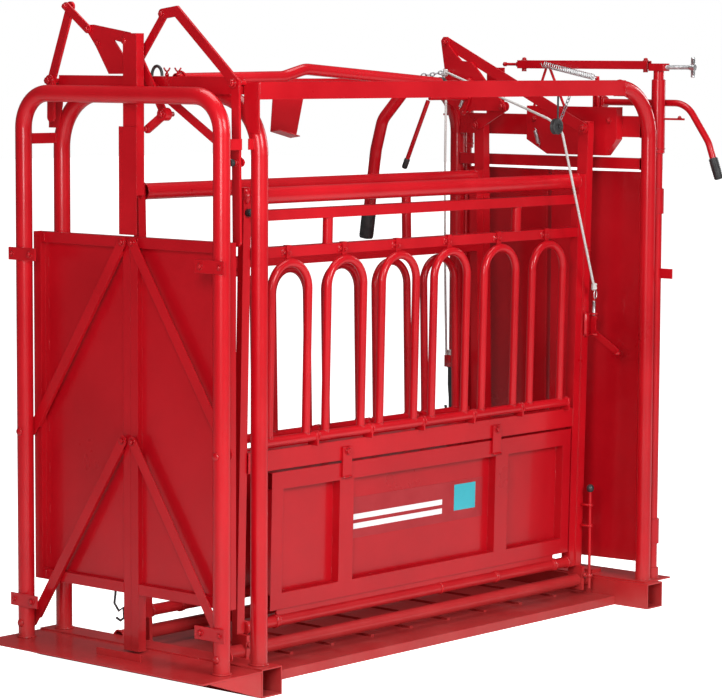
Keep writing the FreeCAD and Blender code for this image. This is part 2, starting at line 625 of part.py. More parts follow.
def gate_door(label, side):
    """Sheet door on two sleeves round the gate pipe, built square to X and turned to its rest angle."""
    y0 = side * dim("leg_spacing") / 2
    near = f"{side} * (leg_spacing / 2 - 30)"
    far = f"{side} * (leg_spacing / 2 - gate_width)"
    middle = f"({near} + {far}) / 2"
    width = "gate_width - 30"
    height = "gate_high - gate_low"
    level = "(gate_high + gate_low) / 2"
    pieces = [box(("4", width, height), ("gate_x - 13", middle, level))]
    inner_post = square_tube("z", ("26", "30"), "3", height, ("gate_x + 2", f"{far} + {side} * 15", level))
    outer_post = square_tube("z", ("26", "30"), "3", height, ("gate_x + 2", f"{near} - {side} * 15", level))
    pieces += [inner_post, outer_post]
    for z in ("gate_low + 15", "gate_high - 15", "gate_low + 800"):
        pieces.append(square_tube("y", ("26", "30"), "3", f"{width} - 60", ("gate_x + 2", middle, z)))
    for z in ("300", "1640"):
        ring = rod("z", "56", "100", ("gate_x", f"{side} * leg_spacing / 2", z))
        ear = box(("16", "14", "100"), ("gate_x", f"{side} * (leg_spacing / 2 - 23)", z))
        bore = rod("z", f"gate_pipe + {RUNNING_CLEARANCE}", "120", ("gate_x", f"{side} * leg_spacing / 2", z))
        pieces.append(cut(fuse([ring, ear]), bore))
    pivot = Vector(dim("gate_x"), y0, 0)
    turn = FreeCAD.Rotation(Vector(0, 0, 1), -side * dim("gate_angle"))
    return subpart(label, pieces, FreeCAD.Placement(pivot - turn.multVec(pivot), turn))


def gate_lever():
    x = dim("gate_lever_x")
    route = [(-191, 2033), (-600, 2033), (-710, 1880), (-739, 1800)]
    pipe = bent_pipe("YZ_Plane", x, route, 110, "gate_lever_outer", "3")
    grip = bent_pipe("YZ_Plane", x, [(-739, 1800), (-760.75, 1740)], 0, "gate_lever_outer + 7", 0)
    boss = rod("x", "50", "44", ("gate_lever_x", "-178", "2033"))
    room = rod("x", "50", "60", ("gate_lever_x", "-178", "2033"))
    return subpart("gate_lever", [cut(pipe, room), boss, grip])


def adjusting_bar():
    bar = square_tube("y", ("30", "34"), "3", "664", ("gate_x", "-116", "2184"))
    bolts = [rod("z", "20", "12", ("gate_x", y, "2161")) for y in ("190", "-430")]
    link = rod("y", "12", "84", ("gate_x", "258", "2184"))
    return subpart("adjusting_bar", [bar, link] + bolts)


def adjusting_screw():
    screw = rod("y", "16", "118", ("gate_x", "-589.3", "2176"))
    hub = rod("y", "24", "22", ("gate_x", "-659.3", "2176"))
    wing = box(("12", "12", "76"), ("gate_x", "-661", "2176"))
    return subpart("adjusting_screw", [fuse([screw, hub, wing])])


# ---------------------------------------------------------------- ropes, pulley and latches

def cord_arcs(points, radii):
    """A route's straight runs and tangent arcs in space, with each corner's arc radius."""
    edges = []
    start = Vector(*points[0])
    for before, corner, after, radius in zip(points, points[1:], points[2:], radii):
        corner = Vector(*corner)
        inward = (Vector(*before) - corner).normalize()
        outward = (Vector(*after) - corner).normalize()
        half = inward.getAngle(outward) / 2
        reach = radius / math.tan(half)
        crown = corner + (inward + outward).normalize() * (radius / math.sin(half) - radius)
        first = corner + inward * reach
        last = corner + outward * reach
        edges.append(Part.LineSegment(start, first).toShape())
        edges.append(Part.Arc(first, crown, last).toShape())
        start = last
    edges.append(Part.LineSegment(start, Vector(*points[-1])).toShape())
    return edges


def route_radii(points):
    """The largest arc each corner's two runs allow: 0.45 of the shorter run over tan(half the turn)."""
    radii = []
    for before, corner, after in zip(points, points[1:], points[2:]):
        first = Vector(*corner) - Vector(*before)
        second = Vector(*after) - Vector(*corner)
        radii.append(0.45 * min(first.Length, second.Length) / math.tan(first.getAngle(second) / 2))
    return radii


def rope(label, points, fixed=None):
    radii = route_radii(points)
    for corner, radius in (fixed or {}).items():
        radii[corner - 1] = radius
    diameter = dim("rope_diameter")
    print(label, "arc radii:", [round(radius, 1) for radius in radii])
    wire = Part.Wire(cord_arcs(points, radii))
    start = Vector(*points[0])
    heading = Vector(*points[1]) - start
    section = Part.Wire(Part.Circle(start, heading, diameter / 2).toShape())
    solid = wire.makePipeShell([section], True, True)
    expected = math.pi * diameter ** 2 / 4 * wire.Length
    print(label, "length", round(wire.Length))
    print(label, "volume against section times length", round(solid.Volume / expected, 4))
    node = doc.addObject("Part::Feature", label)
    node.Shape = solid
    node.Label = label
    SUBPARTS.append(node)
    return node


ROPE_RING = (958, 412, 2152)
RIGHT_EYE = (1012, -330, 1292)


def right_rope():
    """From the ring on the left rail over the chute, round the pulley and down to the right latch."""
    return rope("right_rope", [ROPE_RING, (572, -436, 1974), (597, -477, 1926), RIGHT_EYE], {1: 40, 2: 40})


def left_rope():
    """Hangs from the same ring to the left latch."""
    return rope("left_rope", [(956, 418, 2132), (945, 396, 2040), (921, 374, 1760), (904, 350, 1320),
                              (901, 336, 985)])


def rope_pulley():
    """Pulley disc on a hanger, under the right rail."""
    disc = rod("y", "44", "16", ("560", "-478", "1948"))
    hanger = rod("z", "8", "105", ("560", "-484", "2012.5"))
    return subpart("rope_pulley", [fuse([disc, hanger])])


def right_latch():
    """Foot lever and lifting pin on the right squeeze post."""
    lever = flat_plate("YZ_Plane", 1046, strip_outline([(-300, 1165), (-300, 1110), (-415, 1040)], 24), "8")
    pin = rod("z", "12", "100", ("1052", "-300", "1228"))
    return subpart("right_latch", [lever, pin])


def left_latch():
    """Plate latch with a bent handle, over the left side's middle beam."""
    lever = flat_plate("YZ_Plane", 896, strip_outline([(322, 968), (322, 860), (312, 752)], 26), "8")
    return subpart("left_latch", [lever])


def latch_rod():
    """Drop pin with a round knob beside the right squeeze post."""
    rod_piece = rod("z", "12", "400", ("1036", "-305", "262"))
    knob = doc.addObject("Part::Sphere", "Knob")
    knob.Radius = 14
    knob.Placement.Base = Vector(1036, -305, 474)
    return subpart("latch_rod", [fuse([rod_piece, knob])])


def build():
    rear_base()
    front_base()
    floor_pan()
    hoop("rear_hoop", "rear_hoop_x", dim("rear_plate_top"), "rear_hoop_bend")
    hoop("inner_hoop", "inner_hoop_x", dim("skid_side"), "inner_hoop_bend")
    top_rail("left_top_rail", LEFT)
    top_rail("right_top_rail", RIGHT)
    tail_frame()
    tail_door("left_tail_door", LEFT)
    tail_door("right_tail_door", RIGHT)
    for name, side in (("left", LEFT), ("right", RIGHT)):
        tail_link(f"{name}_upper_link", side, "link_foot_high", "link_head_high")
        tail_link(f"{name}_lower_link", side, "link_foot_low", "link_head_low")
        top_lever(f"{name}_top_lever", side)
    rocker()
    tie_bar("left_tie_link", dim("front_tie_x"), "8", (358, 2386), (247, 2305))
    tie_bar("drive_link", dim("drive_link_x"), "8", (-108, 2357), (11, 2207))
    tie_bar("cross_tie_bar", dim("cross_tie_x"), "tie_thick", (204, 2254), (-466, 1850))
    bell_crank()
    tail_handle()
    for name, side in (("left", LEFT), ("right", RIGHT)):
        side_frame(f"{name}_side_frame", side)
        lower_panel(f"{name}_lower_panel", side)
        panel_latch(f"{name}_rear_panel_latch", side, "-413")
        panel_latch(f"{name}_front_panel_latch", side, "470")
        for number in range(DROP_BARS):
            drop_bar(f"{name}_drop_bar_{number + 1}", side, number)
    ratchet_plate()
    squeeze_handle()
    connecting_arm("long_arm", dim("long_arm_x"), (433, 2272), (-278, 1932), 44)
    connecting_arm("short_link", dim("short_link_x"), (128, 2012), (276, 1932), 40)
    release_lever()
    head_gate_frame()
    gate_cover()
    gate_door("left_gate_door", LEFT)
    gate_door("right_gate_door", RIGHT)
    gate_lever()
    adjusting_bar()
    adjusting_screw()
    rope_pulley()
    right_rope()
    left_rope()
    right_latch()
    left_latch()
    latch_rod()


def export():
    doc.recompute()
    for item in doc.Objects:
        if "Invalid" in item.State or "Error" in item.State:
            raise RuntimeError(f"{item.Name} ({item.Label}) failed: {item.State}")
    for node in SUBPARTS:
        if node.Shape.isNull() or not node.Shape.isValid() or not node.Shape.Solids:
            raise RuntimeError(f"{node.Label} has no valid solid")
    os.makedirs("parts", exist_ok=True)
    for old in os.listdir("parts"):
        os.remove(os.path.join("parts", old))
    mass = 0
    for node in SUBPARTS:
        node.Shape.exportStep(f"parts/{node.Label}.step")
        mass += node.Shape.Volume * 7.85e-6
    print(len(SUBPARTS), "sub-parts,", round(mass), "kg if all were steel")


build()
export()
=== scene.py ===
import json
import math
import random
import bmesh
import bpy
from mathutils import Matrix, Vector


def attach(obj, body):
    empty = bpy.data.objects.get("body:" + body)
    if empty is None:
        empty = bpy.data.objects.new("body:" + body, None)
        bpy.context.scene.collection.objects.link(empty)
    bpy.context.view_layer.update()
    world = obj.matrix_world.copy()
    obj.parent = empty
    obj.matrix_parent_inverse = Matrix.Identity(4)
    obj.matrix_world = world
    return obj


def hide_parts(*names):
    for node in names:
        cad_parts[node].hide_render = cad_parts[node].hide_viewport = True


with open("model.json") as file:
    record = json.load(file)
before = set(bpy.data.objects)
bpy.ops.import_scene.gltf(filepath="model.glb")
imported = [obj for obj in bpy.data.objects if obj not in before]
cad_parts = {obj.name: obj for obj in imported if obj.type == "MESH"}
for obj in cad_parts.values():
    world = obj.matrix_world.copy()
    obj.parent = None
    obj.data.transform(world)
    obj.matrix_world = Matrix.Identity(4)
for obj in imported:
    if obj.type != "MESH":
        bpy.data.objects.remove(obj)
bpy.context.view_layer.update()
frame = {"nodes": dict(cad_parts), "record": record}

# Places below are in millimetres in the row frame: +X to the head gate, +Y to the animal's left, +Z up.
MM = 0.001
LEFT = 1
RIGHT = -1
FOOT_START = -900       # first lug of the right side's drop bars
LEFT_FOOT_START = -876
FOOT_PITCH = 301
LEFT_DROP = 82          # the left side's beam, slat and drop bars sit this much lower
GATE_ANGLE = 6          # the gate doors rest turned this much towards the animal
SIDE_LEAN = 1.17        # degrees that the squeeze sides stand open about their pivot tubes
DROP_BARS = 6           # on each side
LEG_Y = 495             # hoop legs and gate pipes, each side of the middle
REAR_HOOP_X = -1313
INNER_HOOP_X = -1126
GATE_X = 1204           # gate pipes
PIVOT_Y, PIVOT_Z = 252, 92      # tubes that the squeeze sides turn on
HINGE_Y, HINGE_Z = 240, 172     # hinge line of the lower panels
LEVER_Y, LEVER_Z = 460, 2121    # pivots of the tailgate's top levers
SHAFT_Y, SHAFT_Z = 300, 2105    # squeeze ratchet's shaft
GATE_LEVER_Y, GATE_LEVER_Z = -178, 2033
random.seed(7)


def drop(side):
    return LEFT_DROP if side == LEFT else 0


def bar_centre(side, number):
    start = LEFT_FOOT_START if side == LEFT else FOOT_START
    return start + (number + 0.5) * FOOT_PITCH


# ---------------------------------------------------------------- materials

def new_material(name):
    material = bpy.data.materials.new(name)
    material.use_nodes = True
    nodes = material.node_tree.nodes
    return material, nodes, material.node_tree.links, nodes["Principled BSDF"]


def noise(nodes, links, vector, scale, detail=4.0, roughness=0.55):
    texture = nodes.new("ShaderNodeTexNoise")
    texture.inputs["Scale"].default_value = scale
    texture.inputs["Detail"].default_value = detail
    texture.inputs["Roughness"].default_value = roughness
    links.new(vector, texture.inputs["Vector"])
    return texture.outputs["Fac"]


def ramp(nodes, links, value, stops):
    """A colour ramp; stops are (place, colour) pairs."""
    node = nodes.new("ShaderNodeValToRGB")
    elements = node.color_ramp.elements
    while len(elements) < len(stops):
        elements.new(0.5)
    for element, (place, colour) in zip(elements, stops):
        element.position = place
        element.color = (*colour, 1.0)
    links.new(value, node.inputs["Fac"])
    return node.outputs["Color"]


def mix_colour(nodes, links, factor, first, second):
    node = nodes.new("ShaderNodeMix")
    node.data_type = "RGBA"
    links.new(factor, node.inputs["Factor"])
    for socket, value in ((node.inputs[6], first), (node.inputs[7], second)):
        if isinstance(value, tuple):
            socket.default_value = (*value, 1.0)
        else:
            links.new(value, socket)
    return node.outputs[2]


def arithmetic(nodes, links, operation, first, second, clamp=False):
    node = nodes.new("ShaderNodeMath")
    node.operation = operation
    node.use_clamp = clamp
    for socket, value in zip(node.inputs, (first, second)):
        if isinstance(value, (int, float)):
            socket.default_value = value
        else:
            links.new(value, socket)
    return node.outputs[0]


def object_place(nodes):
    return nodes.new("ShaderNodeTexCoord").outputs["Object"]


def soft_edges(nodes, links, bsdf, height, strength, distance, radius):
    """Rounded-looking edges with a fine bump on top of them."""
    edge = nodes.new("ShaderNodeBevel")
    edge.samples = 4
    edge.inputs["Radius"].default_value = radius
    bump = nodes.new("ShaderNodeBump")
    bump.inputs["Strength"].default_value = strength
    bump.inputs["Distance"].default_value = distance
    links.new(height, bump.inputs["Height"])
    links.new(edge.outputs["Normal"], bump.inputs["Normal"])
    links.new(bump.outputs["Normal"], bsdf.inputs["Normal"])


def worn_edges(nodes, links, radius, threshold):
    """Bright along the outer edges of a piece, from how far the bevelled normal leans off the true one."""
    edge = nodes.new("ShaderNodeBevel")
    edge.samples = 4
    edge.inputs["Radius"].default_value = radius
    geometry = nodes.new("ShaderNodeNewGeometry")
    dot = nodes.new("ShaderNodeVectorMath")
    dot.operation = "DOT_PRODUCT"
    links.new(edge.outputs["Normal"], dot.inputs[0])
    links.new(geometry.outputs["Normal"], dot.inputs[1])
    return arithmetic(nodes, links, "LESS_THAN", dot.outputs["Value"], threshold)


def red_paint(name, deep, bright, wear=0.5):
    """Gloss enamel over steel: uneven colour, orange peel, scuffs, dust near the ground and chipped edges."""
    material, nodes, links, bsdf = new_material(name)
    place = object_place(nodes)
    cloud = noise(nodes, links, place, 2.3, 5.0)
    base = ramp(nodes, links, cloud, [(0.3, deep), (0.72, bright)])
    scuff = noise(nodes, links, place, 26.0, 8.0, 0.7)
    scuffed = ramp(nodes, links, scuff, [(0.63, (0, 0, 0)), (0.72, (1, 1, 1))])
    scuffed = arithmetic(nodes, links, "MULTIPLY", scuffed, 0.05)
    dusty = tuple(channel * 0.55 + share for channel, share in zip(bright, (0.14, 0.09, 0.075)))
    colour = mix_colour(nodes, links, scuffed, base, dusty)
    split = nodes.new("ShaderNodeSeparateXYZ")
    links.new(place, split.inputs[0])
    height = nodes.new("ShaderNodeMapRange")
    links.new(split.outputs["Z"], height.inputs["Value"])
    height.inputs["From Min"].default_value = 0.0
    height.inputs["From Max"].default_value = 0.22
    height.inputs["To Min"].default_value = 0.40
    height.inputs["To Max"].default_value = 0.0
    patches = noise(nodes, links, place, 9.0, 7.0, 0.65)
    dust = arithmetic(nodes, links, "MULTIPLY", height.outputs["Result"], patches, clamp=True)
    colour = mix_colour(nodes, links, dust, colour, (0.36, 0.20, 0.17))
    edge = worn_edges(nodes, links, 0.0016, 0.86)
    chip_noise = noise(nodes, links, place, 60.0, 6.0, 0.7)
    chips = ramp(nodes, links, chip_noise, [(0.60, (0, 0, 0)), (0.64, (1, 1, 1))])
    chipped = arithmetic(nodes, links, "MULTIPLY", edge, chips)
    chipped = arithmetic(nodes, links, "MULTIPLY", chipped, wear)
    colour = mix_colour(nodes, links, chipped, colour, (0.23, 0.11, 0.10))
    links.new(colour, bsdf.inputs["Base Color"])
    rough = arithmetic(nodes, links, "MULTIPLY_ADD", cloud, 0.16)
    rough.node.inputs[2].default_value = 0.22
    rough = arithmetic(nodes, links, "ADD", rough, dust)
    rough = arithmetic(nodes, links, "ADD", rough, scuffed, clamp=True)
    links.new(rough, bsdf.inputs["Roughness"])
    bsdf.inputs["Specular IOR Level"].default_value = 0.28
    bsdf.inputs["Coat Weight"].default_value = 0.25
    bsdf.inputs["Coat Roughness"].default_value = 0.08
    peel = noise(nodes, links, place, 420.0, 2.0)
    waves = noise(nodes, links, place, 14.0, 3.0)
    relief = arithmetic(nodes, links, "MULTIPLY_ADD", waves, 4.0)
    links.new(peel, relief.node.inputs[2])
    soft_edges(nodes, links, bsdf, relief, 0.25, 0.0006, 0.0022)
    return material


def plated_steel(name, tint, roughness):
    """Zinc plate or bare steel with fine streaks and dull patches."""
    material, nodes, links, bsdf = new_material(name)
    place = object_place(nodes)
    patches = noise(nodes, links, place, 55.0, 6.0)
    dark = tuple(channel * 0.62 for channel in tint)
    links.new(ramp(nodes, links, patches, [(0.3, dark), (0.7, tint)]), bsdf.inputs["Base Color"])
    rough = arithmetic(nodes, links, "MULTIPLY_ADD", patches, 0.25)
    rough.node.inputs[2].default_value = roughness
    links.new(rough, bsdf.inputs["Roughness"])
    bsdf.inputs["Metallic"].default_value = 1.0
    grain = noise(nodes, links, place, 900.0, 3.0)
    soft_edges(nodes, links, bsdf, grain, 0.3, 0.0004, 0.0008)
    return material


def black_rubber(name, shade, roughness):
    material, nodes, links, bsdf = new_material(name)
    place = object_place(nodes)
    grain = noise(nodes, links, place, 700.0, 3.0)
    bloom = noise(nodes, links, place, 30.0, 5.0)
    pale = tuple(channel + 0.03 for channel in shade)
    links.new(ramp(nodes, links, bloom, [(0.4, shade), (0.75, pale)]), bsdf.inputs["Base Color"])
    bsdf.inputs["Roughness"].default_value = roughness
    soft_edges(nodes, links, bsdf, grain, 0.35, 0.0004, 0.001)
    return material


def braided_rope(name):
    """White cord with a crossing braid and a little grime."""
    material, nodes, links, bsdf = new_material(name)
    place = object_place(nodes)
    braid = []
    for angle in (35, -35):
        turn = nodes.new("ShaderNodeMapping")
        turn.inputs["Rotation"].default_value = (math.radians(angle), math.radians(angle), 0)
        links.new(place, turn.inputs["Vector"])
        wave = nodes.new("ShaderNodeTexWave")
        wave.bands_direction = "Z"
        wave.inputs["Scale"].default_value = 95.0
        links.new(turn.outputs["Vector"], wave.inputs["Vector"])
        braid.append(wave.outputs["Fac"])
    weave = arithmetic(nodes, links, "MULTIPLY", braid[0], braid[1])
    grime = noise(nodes, links, place, 8.0, 5.0)
    clean = ramp(nodes, links, weave, [(0.0, (0.48, 0.47, 0.45)), (0.4, (0.86, 0.85, 0.83))])
    dirty = ramp(nodes, links, grime, [(0.45, (0, 0, 0)), (0.8, (0.3, 0.3, 0.3))])
    links.new(mix_colour(nodes, links, dirty, clean, (0.42, 0.37, 0.32)), bsdf.inputs["Base Color"])
    bsdf.inputs["Roughness"].default_value = 0.85
    soft_edges(nodes, links, bsdf, weave, 0.7, 0.001, 0.0005)
    return material


def plain_vinyl(name, colour):
    """Plain sticker film."""
    material, nodes, links, bsdf = new_material(name)
    place = object_place(nodes)
    fade = noise(nodes, links, place, 12.0, 4.0)
    faded = tuple(min(1.0, channel * 1.12 + 0.01) for channel in colour)
    links.new(ramp(nodes, links, fade, [(0.35, colour), (0.8, faded)]), bsdf.inputs["Base Color"])
    bsdf.inputs["Roughness"].default_value = 0.3
    soft_edges(nodes, links, bsdf, fade, 0.1, 0.0002, 0.0002)
    return material


MATERIALS = {
    "red": red_paint("red_enamel", (0.42, 0.002, 0.007), (0.58, 0.006, 0.013)),
    "weld": red_paint("painted_weld", (0.36, 0.002, 0.006), (0.50, 0.006, 0.012), wear=0.2),
    "sheet": red_paint("red_sheet", (0.40, 0.002, 0.007), (0.52, 0.005, 0.012), wear=0.4),
    "zinc": plated_steel("zinc_plate", (0.74, 0.75, 0.76), 0.26),
    "steel": plated_steel("dark_steel", (0.34, 0.34, 0.36), 0.36),
    "rubber": black_rubber("black_rubber", (0.012, 0.012, 0.013), 0.5),
    "black": black_rubber("black_paint", (0.02, 0.02, 0.022), 0.32),
    "rope": braided_rope("white_rope"),
    "decal": plain_vinyl("decal_red", (0.36, 0.004, 0.010)),
    "decal_white": plain_vinyl("decal_white", (0.85, 0.85, 0.86)),
    "decal_cyan": plain_vinyl("decal_cyan", (0.03, 0.42, 0.50)),
}


# ---------------------------------------------------------------- mesh tools

def axes_for(direction):
    """A unit vector along a direction, and two square to it."""
    along = Vector(direction).normalized()
    other = Vector((0, 0, 1)) if abs(along.z) < 0.9 else Vector((1, 0, 0))
    side = along.cross(other).normalized()
    return along, side, along.cross(side)


class Piece:
    """One mesh under construction: shapes are added in millimetres, then it is placed on a body."""

    def __init__(self, name, body, material, slot="red_paint"):
        self.name = name
        self.body = body
        self.material = material
        self.slot = slot
        self.mesh = bmesh.new()

    def rings(self, rings, closed=False, capped=True):
        """Skins rings of points; every ring has as many points as the first."""
        rows = [[self.mesh.verts.new(Vector(point) * MM) for point in ring] for ring in rings]
        pairs = list(zip(rows, rows[1:]))
        if closed:
            pairs.append((rows[-1], rows[0]))
        count = len(rows[0])
        for first, second in pairs:
            for i in range(count):
                j = (i + 1) % count
                face = self.mesh.faces.new((first[i], first[j], second[j], second[i]))
                face.smooth = True
        if capped and not closed:
            self.mesh.faces.new(list(reversed(rows[0])))
            self.mesh.faces.new(rows[-1])

    def lathe(self, centre, direction, profile, segments=28):
        """Turns (radius, distance) pairs about a direction."""
        along, side, up = axes_for(direction)
        rings = []
        for radius, distance in profile:
            middle = Vector(centre) + along * distance
            ring = []
            for i in range(segments):
                angle = 2 * math.pi * i / segments
                ring.append(middle + (side * math.cos(angle) + up * math.sin(angle)) * radius)
            rings.append(ring)
        self.rings(rings)

    def bolt(self, centre, direction, across=19, depth=None):
        """Washer, hexagon head with a chamfer, standing on a face."""
        radius = across / math.sqrt(3)
        depth = depth or across * 0.55
        washer = [(across * 0.72, 0), (across * 0.78, 0.6), (across * 0.78, 1.9), (across * 0.7, 2.4)]
        self.lathe(centre, direction, washer, 24)
        self.lathe(centre, direction, [(radius, 2.3), (radius, depth), (radius * 0.86, depth + 1.6)], 6)
        self.lathe(centre, direction, [(across * 0.24, depth + 1.4), (across * 0.22, depth + 3.2)], 16)

    def dome(self, centre, direction, radius, height):
        """Round carriage-bolt head."""
        steps = 6
        profile = [(radius * 1.02, 0)]
        for i in range(steps + 1):
            angle = math.pi / 2 * i / steps
            profile.append((max(radius * math.cos(angle), 0.4), 1.2 + height * math.sin(angle)))
        self.lathe(centre, direction, profile, 24)

    def nut(self, centre, direction, across=19):
        radius = across / math.sqrt(3)
        depth = across * 0.6
        head = [(radius * 0.88, 0), (radius, 1.4), (radius, depth - 1.4), (radius * 0.88, depth)]
        self.lathe(centre, direction, head, 6)
        end = [(across * 0.27, depth - 0.5), (across * 0.27, depth + 4), (across * 0.2, depth + 5.5)]
        self.lathe(centre, direction, end, 16)

    def tube(self, points, radius, segments=14, closed=False, ripple=0.0):
        """A round bar through many points; ripple makes its radius uneven, as a weld bead is."""
        spots = [Vector(point) for point in points]
        count = len(spots)
        rings = []
        side = None
        for i, spot in enumerate(spots):
            if closed:
                run = spots[(i + 1) % count] - spots[i - 1]
            else:
                run = spots[min(i + 1, count - 1)] - spots[max(i - 1, 0)]
            run.normalize()
            if side is None:
                side = axes_for(run)[1]
            side = (side - run * side.dot(run)).normalized()
            up = run.cross(side)
            size = radius * (1 + ripple * (0.5 * math.sin(i * 2.1) + random.uniform(-0.5, 0.5)))
            ring = []
            for k in range(segments):
                angle = 2 * math.pi * k / segments
                ring.append(spot + (side * math.cos(angle) + up * math.sin(angle)) * size)
            rings.append(ring)
        self.rings(rings, closed=closed)

    def bead_ring(self, centre, direction, radius, thick=3.2):
        """Weld bead round a pipe."""
        side, up = axes_for(direction)[1:]
        count = max(24, int(2 * math.pi * radius / 5))
        points = []
        for i in range(count):
            angle = 2 * math.pi * i / count
            points.append(Vector(centre) + (side * math.cos(angle) + up * math.sin(angle)) * radius)
        self.tube(points, thick, 8, closed=True, ripple=0.3)

    def bead_line(self, start, end, thick=2.6):
        start = Vector(start)
        end = Vector(end)
        steps = max(3, int((end - start).length / 5))
        self.tube([start.lerp(end, i / steps) for i in range(steps + 1)], thick, 8, ripple=0.35)

    def plate(self, corners, direction, thick, edge=1.2):
        """A flat plate with eased edges from its outline and the way it thickens."""
        along = Vector(direction).normalized()
        middle = sum((Vector(corner) for corner in corners), Vector()) / len(corners)

        def shrunk(amount, lift):
            ring = []
            for corner in corners:
                corner = Vector(corner)
                inward = (middle - corner).normalized()
                ring.append(corner + inward * amount + along * lift)
            return ring
        self.rings([shrunk(edge, 0), shrunk(0, edge), shrunk(0, thick - edge), shrunk(edge, thick)])

    def block(self, low, high, edge=1.5):
        (x0, y0, z0), (x1, y1, z1) = low, high
        outline = [(x0, y0, z0), (x1, y0, z0), (x1, y1, z0), (x0, y1, z0)]
        self.plate(outline, (0, 0, 1), z1 - z0, min(edge, (z1 - z0) / 3))

    def coil(self, start, end, radius, wire, turns, hooks=True):
        """A coil spring between two points."""
        start = Vector(start)
        end = Vector(end)
        along, side, up = axes_for(end - start)
        length = (end - start).length
        lead = radius * 1.6 if hooks else 0
        steps = turns * 12
        points = [start] if hooks else []
        for i in range(steps + 1):
            angle = 2 * math.pi * i / 12
            distance = lead + (length - 2 * lead) * i / steps
            points.append(start + along * distance + (side * math.cos(angle) + up * math.sin(angle)) * radius)
        if hooks:
            points.append(end)
        self.tube(points, wire, 6)

    def chain(self, points, link, wire):
        """Oval links along a polyline, each turned a quarter from the last."""
        spots = [Vector(point) for point in points]
        lengths = [(b - a).length for a, b in zip(spots, spots[1:])]
        total = sum(lengths)
        count = max(2, int(total / (link * 0.72)))
        for number in range(count):
            at = total * (number + 0.5) / count
            run = 0
            while run < len(lengths) - 1 and at > lengths[run]:
                at -= lengths[run]
                run += 1
            middle = spots[run].lerp(spots[run + 1], at / lengths[run])
            along, side, up = axes_for(spots[run + 1] - spots[run])
            across = side if number % 2 else up
            loop = []
            for i in range(16):
                angle = 2 * math.pi * i / 16
                lengthways = along * math.cos(angle) * link / 2
                loop.append(middle + lengthways + across * math.sin(angle) * link * 0.32)
            self.tube(loop, wire, 7, closed=True)

    def done(self, turn=None):
        """Makes the object, turned to its rest place if need be, and puts it on its body."""
        data = bpy.data.meshes.new(self.name)
        bmesh.ops.recalc_face_normals(self.mesh, faces=self.mesh.faces[:])
        self.mesh.to_mesh(data)
        self.mesh.free()
        if turn is not None:
            data.transform(turn)
        data.materials.append(MATERIALS[self.material])
        obj = bpy.data.objects.new(self.name, data)
        bpy.context.scene.collection.objects.link(obj)
        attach(obj, self.body)


def lean(side):
    """Turns a squeeze side's piece about its pivot tube to its rest place."""
    pivot = Matrix.Translation(Vector((0, side * PIVOT_Y, PIVOT_Z)) * MM)
    turn = Matrix.Rotation(math.radians(-side * SIDE_LEAN), 4, "X")
    return pivot @ turn @ pivot.inverted()


def paint_cad():
    """The CAD nodes' own finishes."""
    wanted = {"zinc": "zinc", "black_grip": "black", "rope": "rope", "red_paint": "red"}
    slots = {entry["node"]: entry["material_slot"] for entry in frame["record"]["subparts"]}
    for name, obj in frame["nodes"].items():
        kind = wanted[slots[name]]
        if name.endswith(("tail_door", "gate_door", "lower_panel", "floor_pan")):
            kind = "sheet"
        obj.data.materials.clear()
        obj.data.materials.append(MATERIALS[kind])


paint_cad()


# ---------------------------------------------------------------- welded frame details

def base_details():
    welds = Piece("base_welds", "frame", "weld")
    for side in (LEFT, RIGHT):
        y = side * LEG_Y
        welds.bead_ring((REAR_HOOP_X, y, 96.5), (0, 0, 1), 30.5)
        welds.bead_ring((INNER_HOOP_X, y, 102), (0, 0, 1), 30.5)
        welds.bead_ring((1143, y, 108), (0, 0, 1), 30.5)
        welds.bead_ring((GATE_X, y, 108), (0, 0, 1), 28.2)
        for x in (-1081, 1081):
            welds.bead_ring((x, side * PIVOT_Y, PIVOT_Z), (1, 0, 0), 25.6, 2.6)
    for x, height in ((-1183, 97), (1184, 102.5)):
        for start in range(-520, 520, 130):
            welds.bead_line((x, start, height), (x, start + 55, height), 2.4)
    welds.done()
    feet = Piece("hoop_foot_pads", "frame", "red")
    for side in (LEFT, RIGHT):
        y = side * LEG_Y
        for x, height in ((REAR_HOOP_X, 96.3), (INNER_HOOP_X, 101.8)):
            feet.lathe((x, y, height), (0, 0, 1), [(34, 0), (36, 1), (36, 4), (34, 5)], 28)
    feet.done()


def frame_brackets():
    """Weld beads and bolts for the flat hooks and tabs on the hoops, rails and gate pipes."""
    welds = Piece("hoop_welds", "frame", "weld")
    bolts = Piece("hoop_bolts", "frame", "weld")
    for side in (LEFT, RIGHT):
        y = side * LEG_Y
        for height in (1500, 237):
            for end in (-52, 44):
                edge = side * 470 + end
                welds.bead_line((-1344, edge, height - 20), (-1344, edge, height + 20), 2)
            bolts.bolt((-1349.3, side * 428, height), (-1, 0, 0), 17)
            bolts.bolt((-1349.3, side * 520, height), (-1, 0, 0), 13)
        for x in (-1282, -1157):
            welds.bead_line((x, y - 3, 1895), (x, y - 3, 1931), 2)
        welds.bead_line((-1156, y - 28, 2065), (-1156, y - 28, 2124), 3)
        welds.bead_line((943, y - 29, 2064), (943, y + 29, 2064), 2.4)
        ring = [(943, y + 30.5 * math.cos(a), 2095 + 30.5 * math.sin(a))
                for a in (2 * math.pi * i / 40 for i in range(40))]
        welds.tube(ring, 2.6, 8, closed=True, ripple=0.3)
        bolts.bolt((GATE_X, side * 600, 1974), (0, 0, 1), 12)
        for low in (1812, 1768, 1980, 1896):
            welds.bead_line((1124, side * 465, low), (1162, side * 465, low), 2.2)
    for y in (-34.5, 34.5):
        welds.bead_line((-1263, y, 2062), (-1263, y, 2092), 2.2)
    welds.done()
    bolts.done()


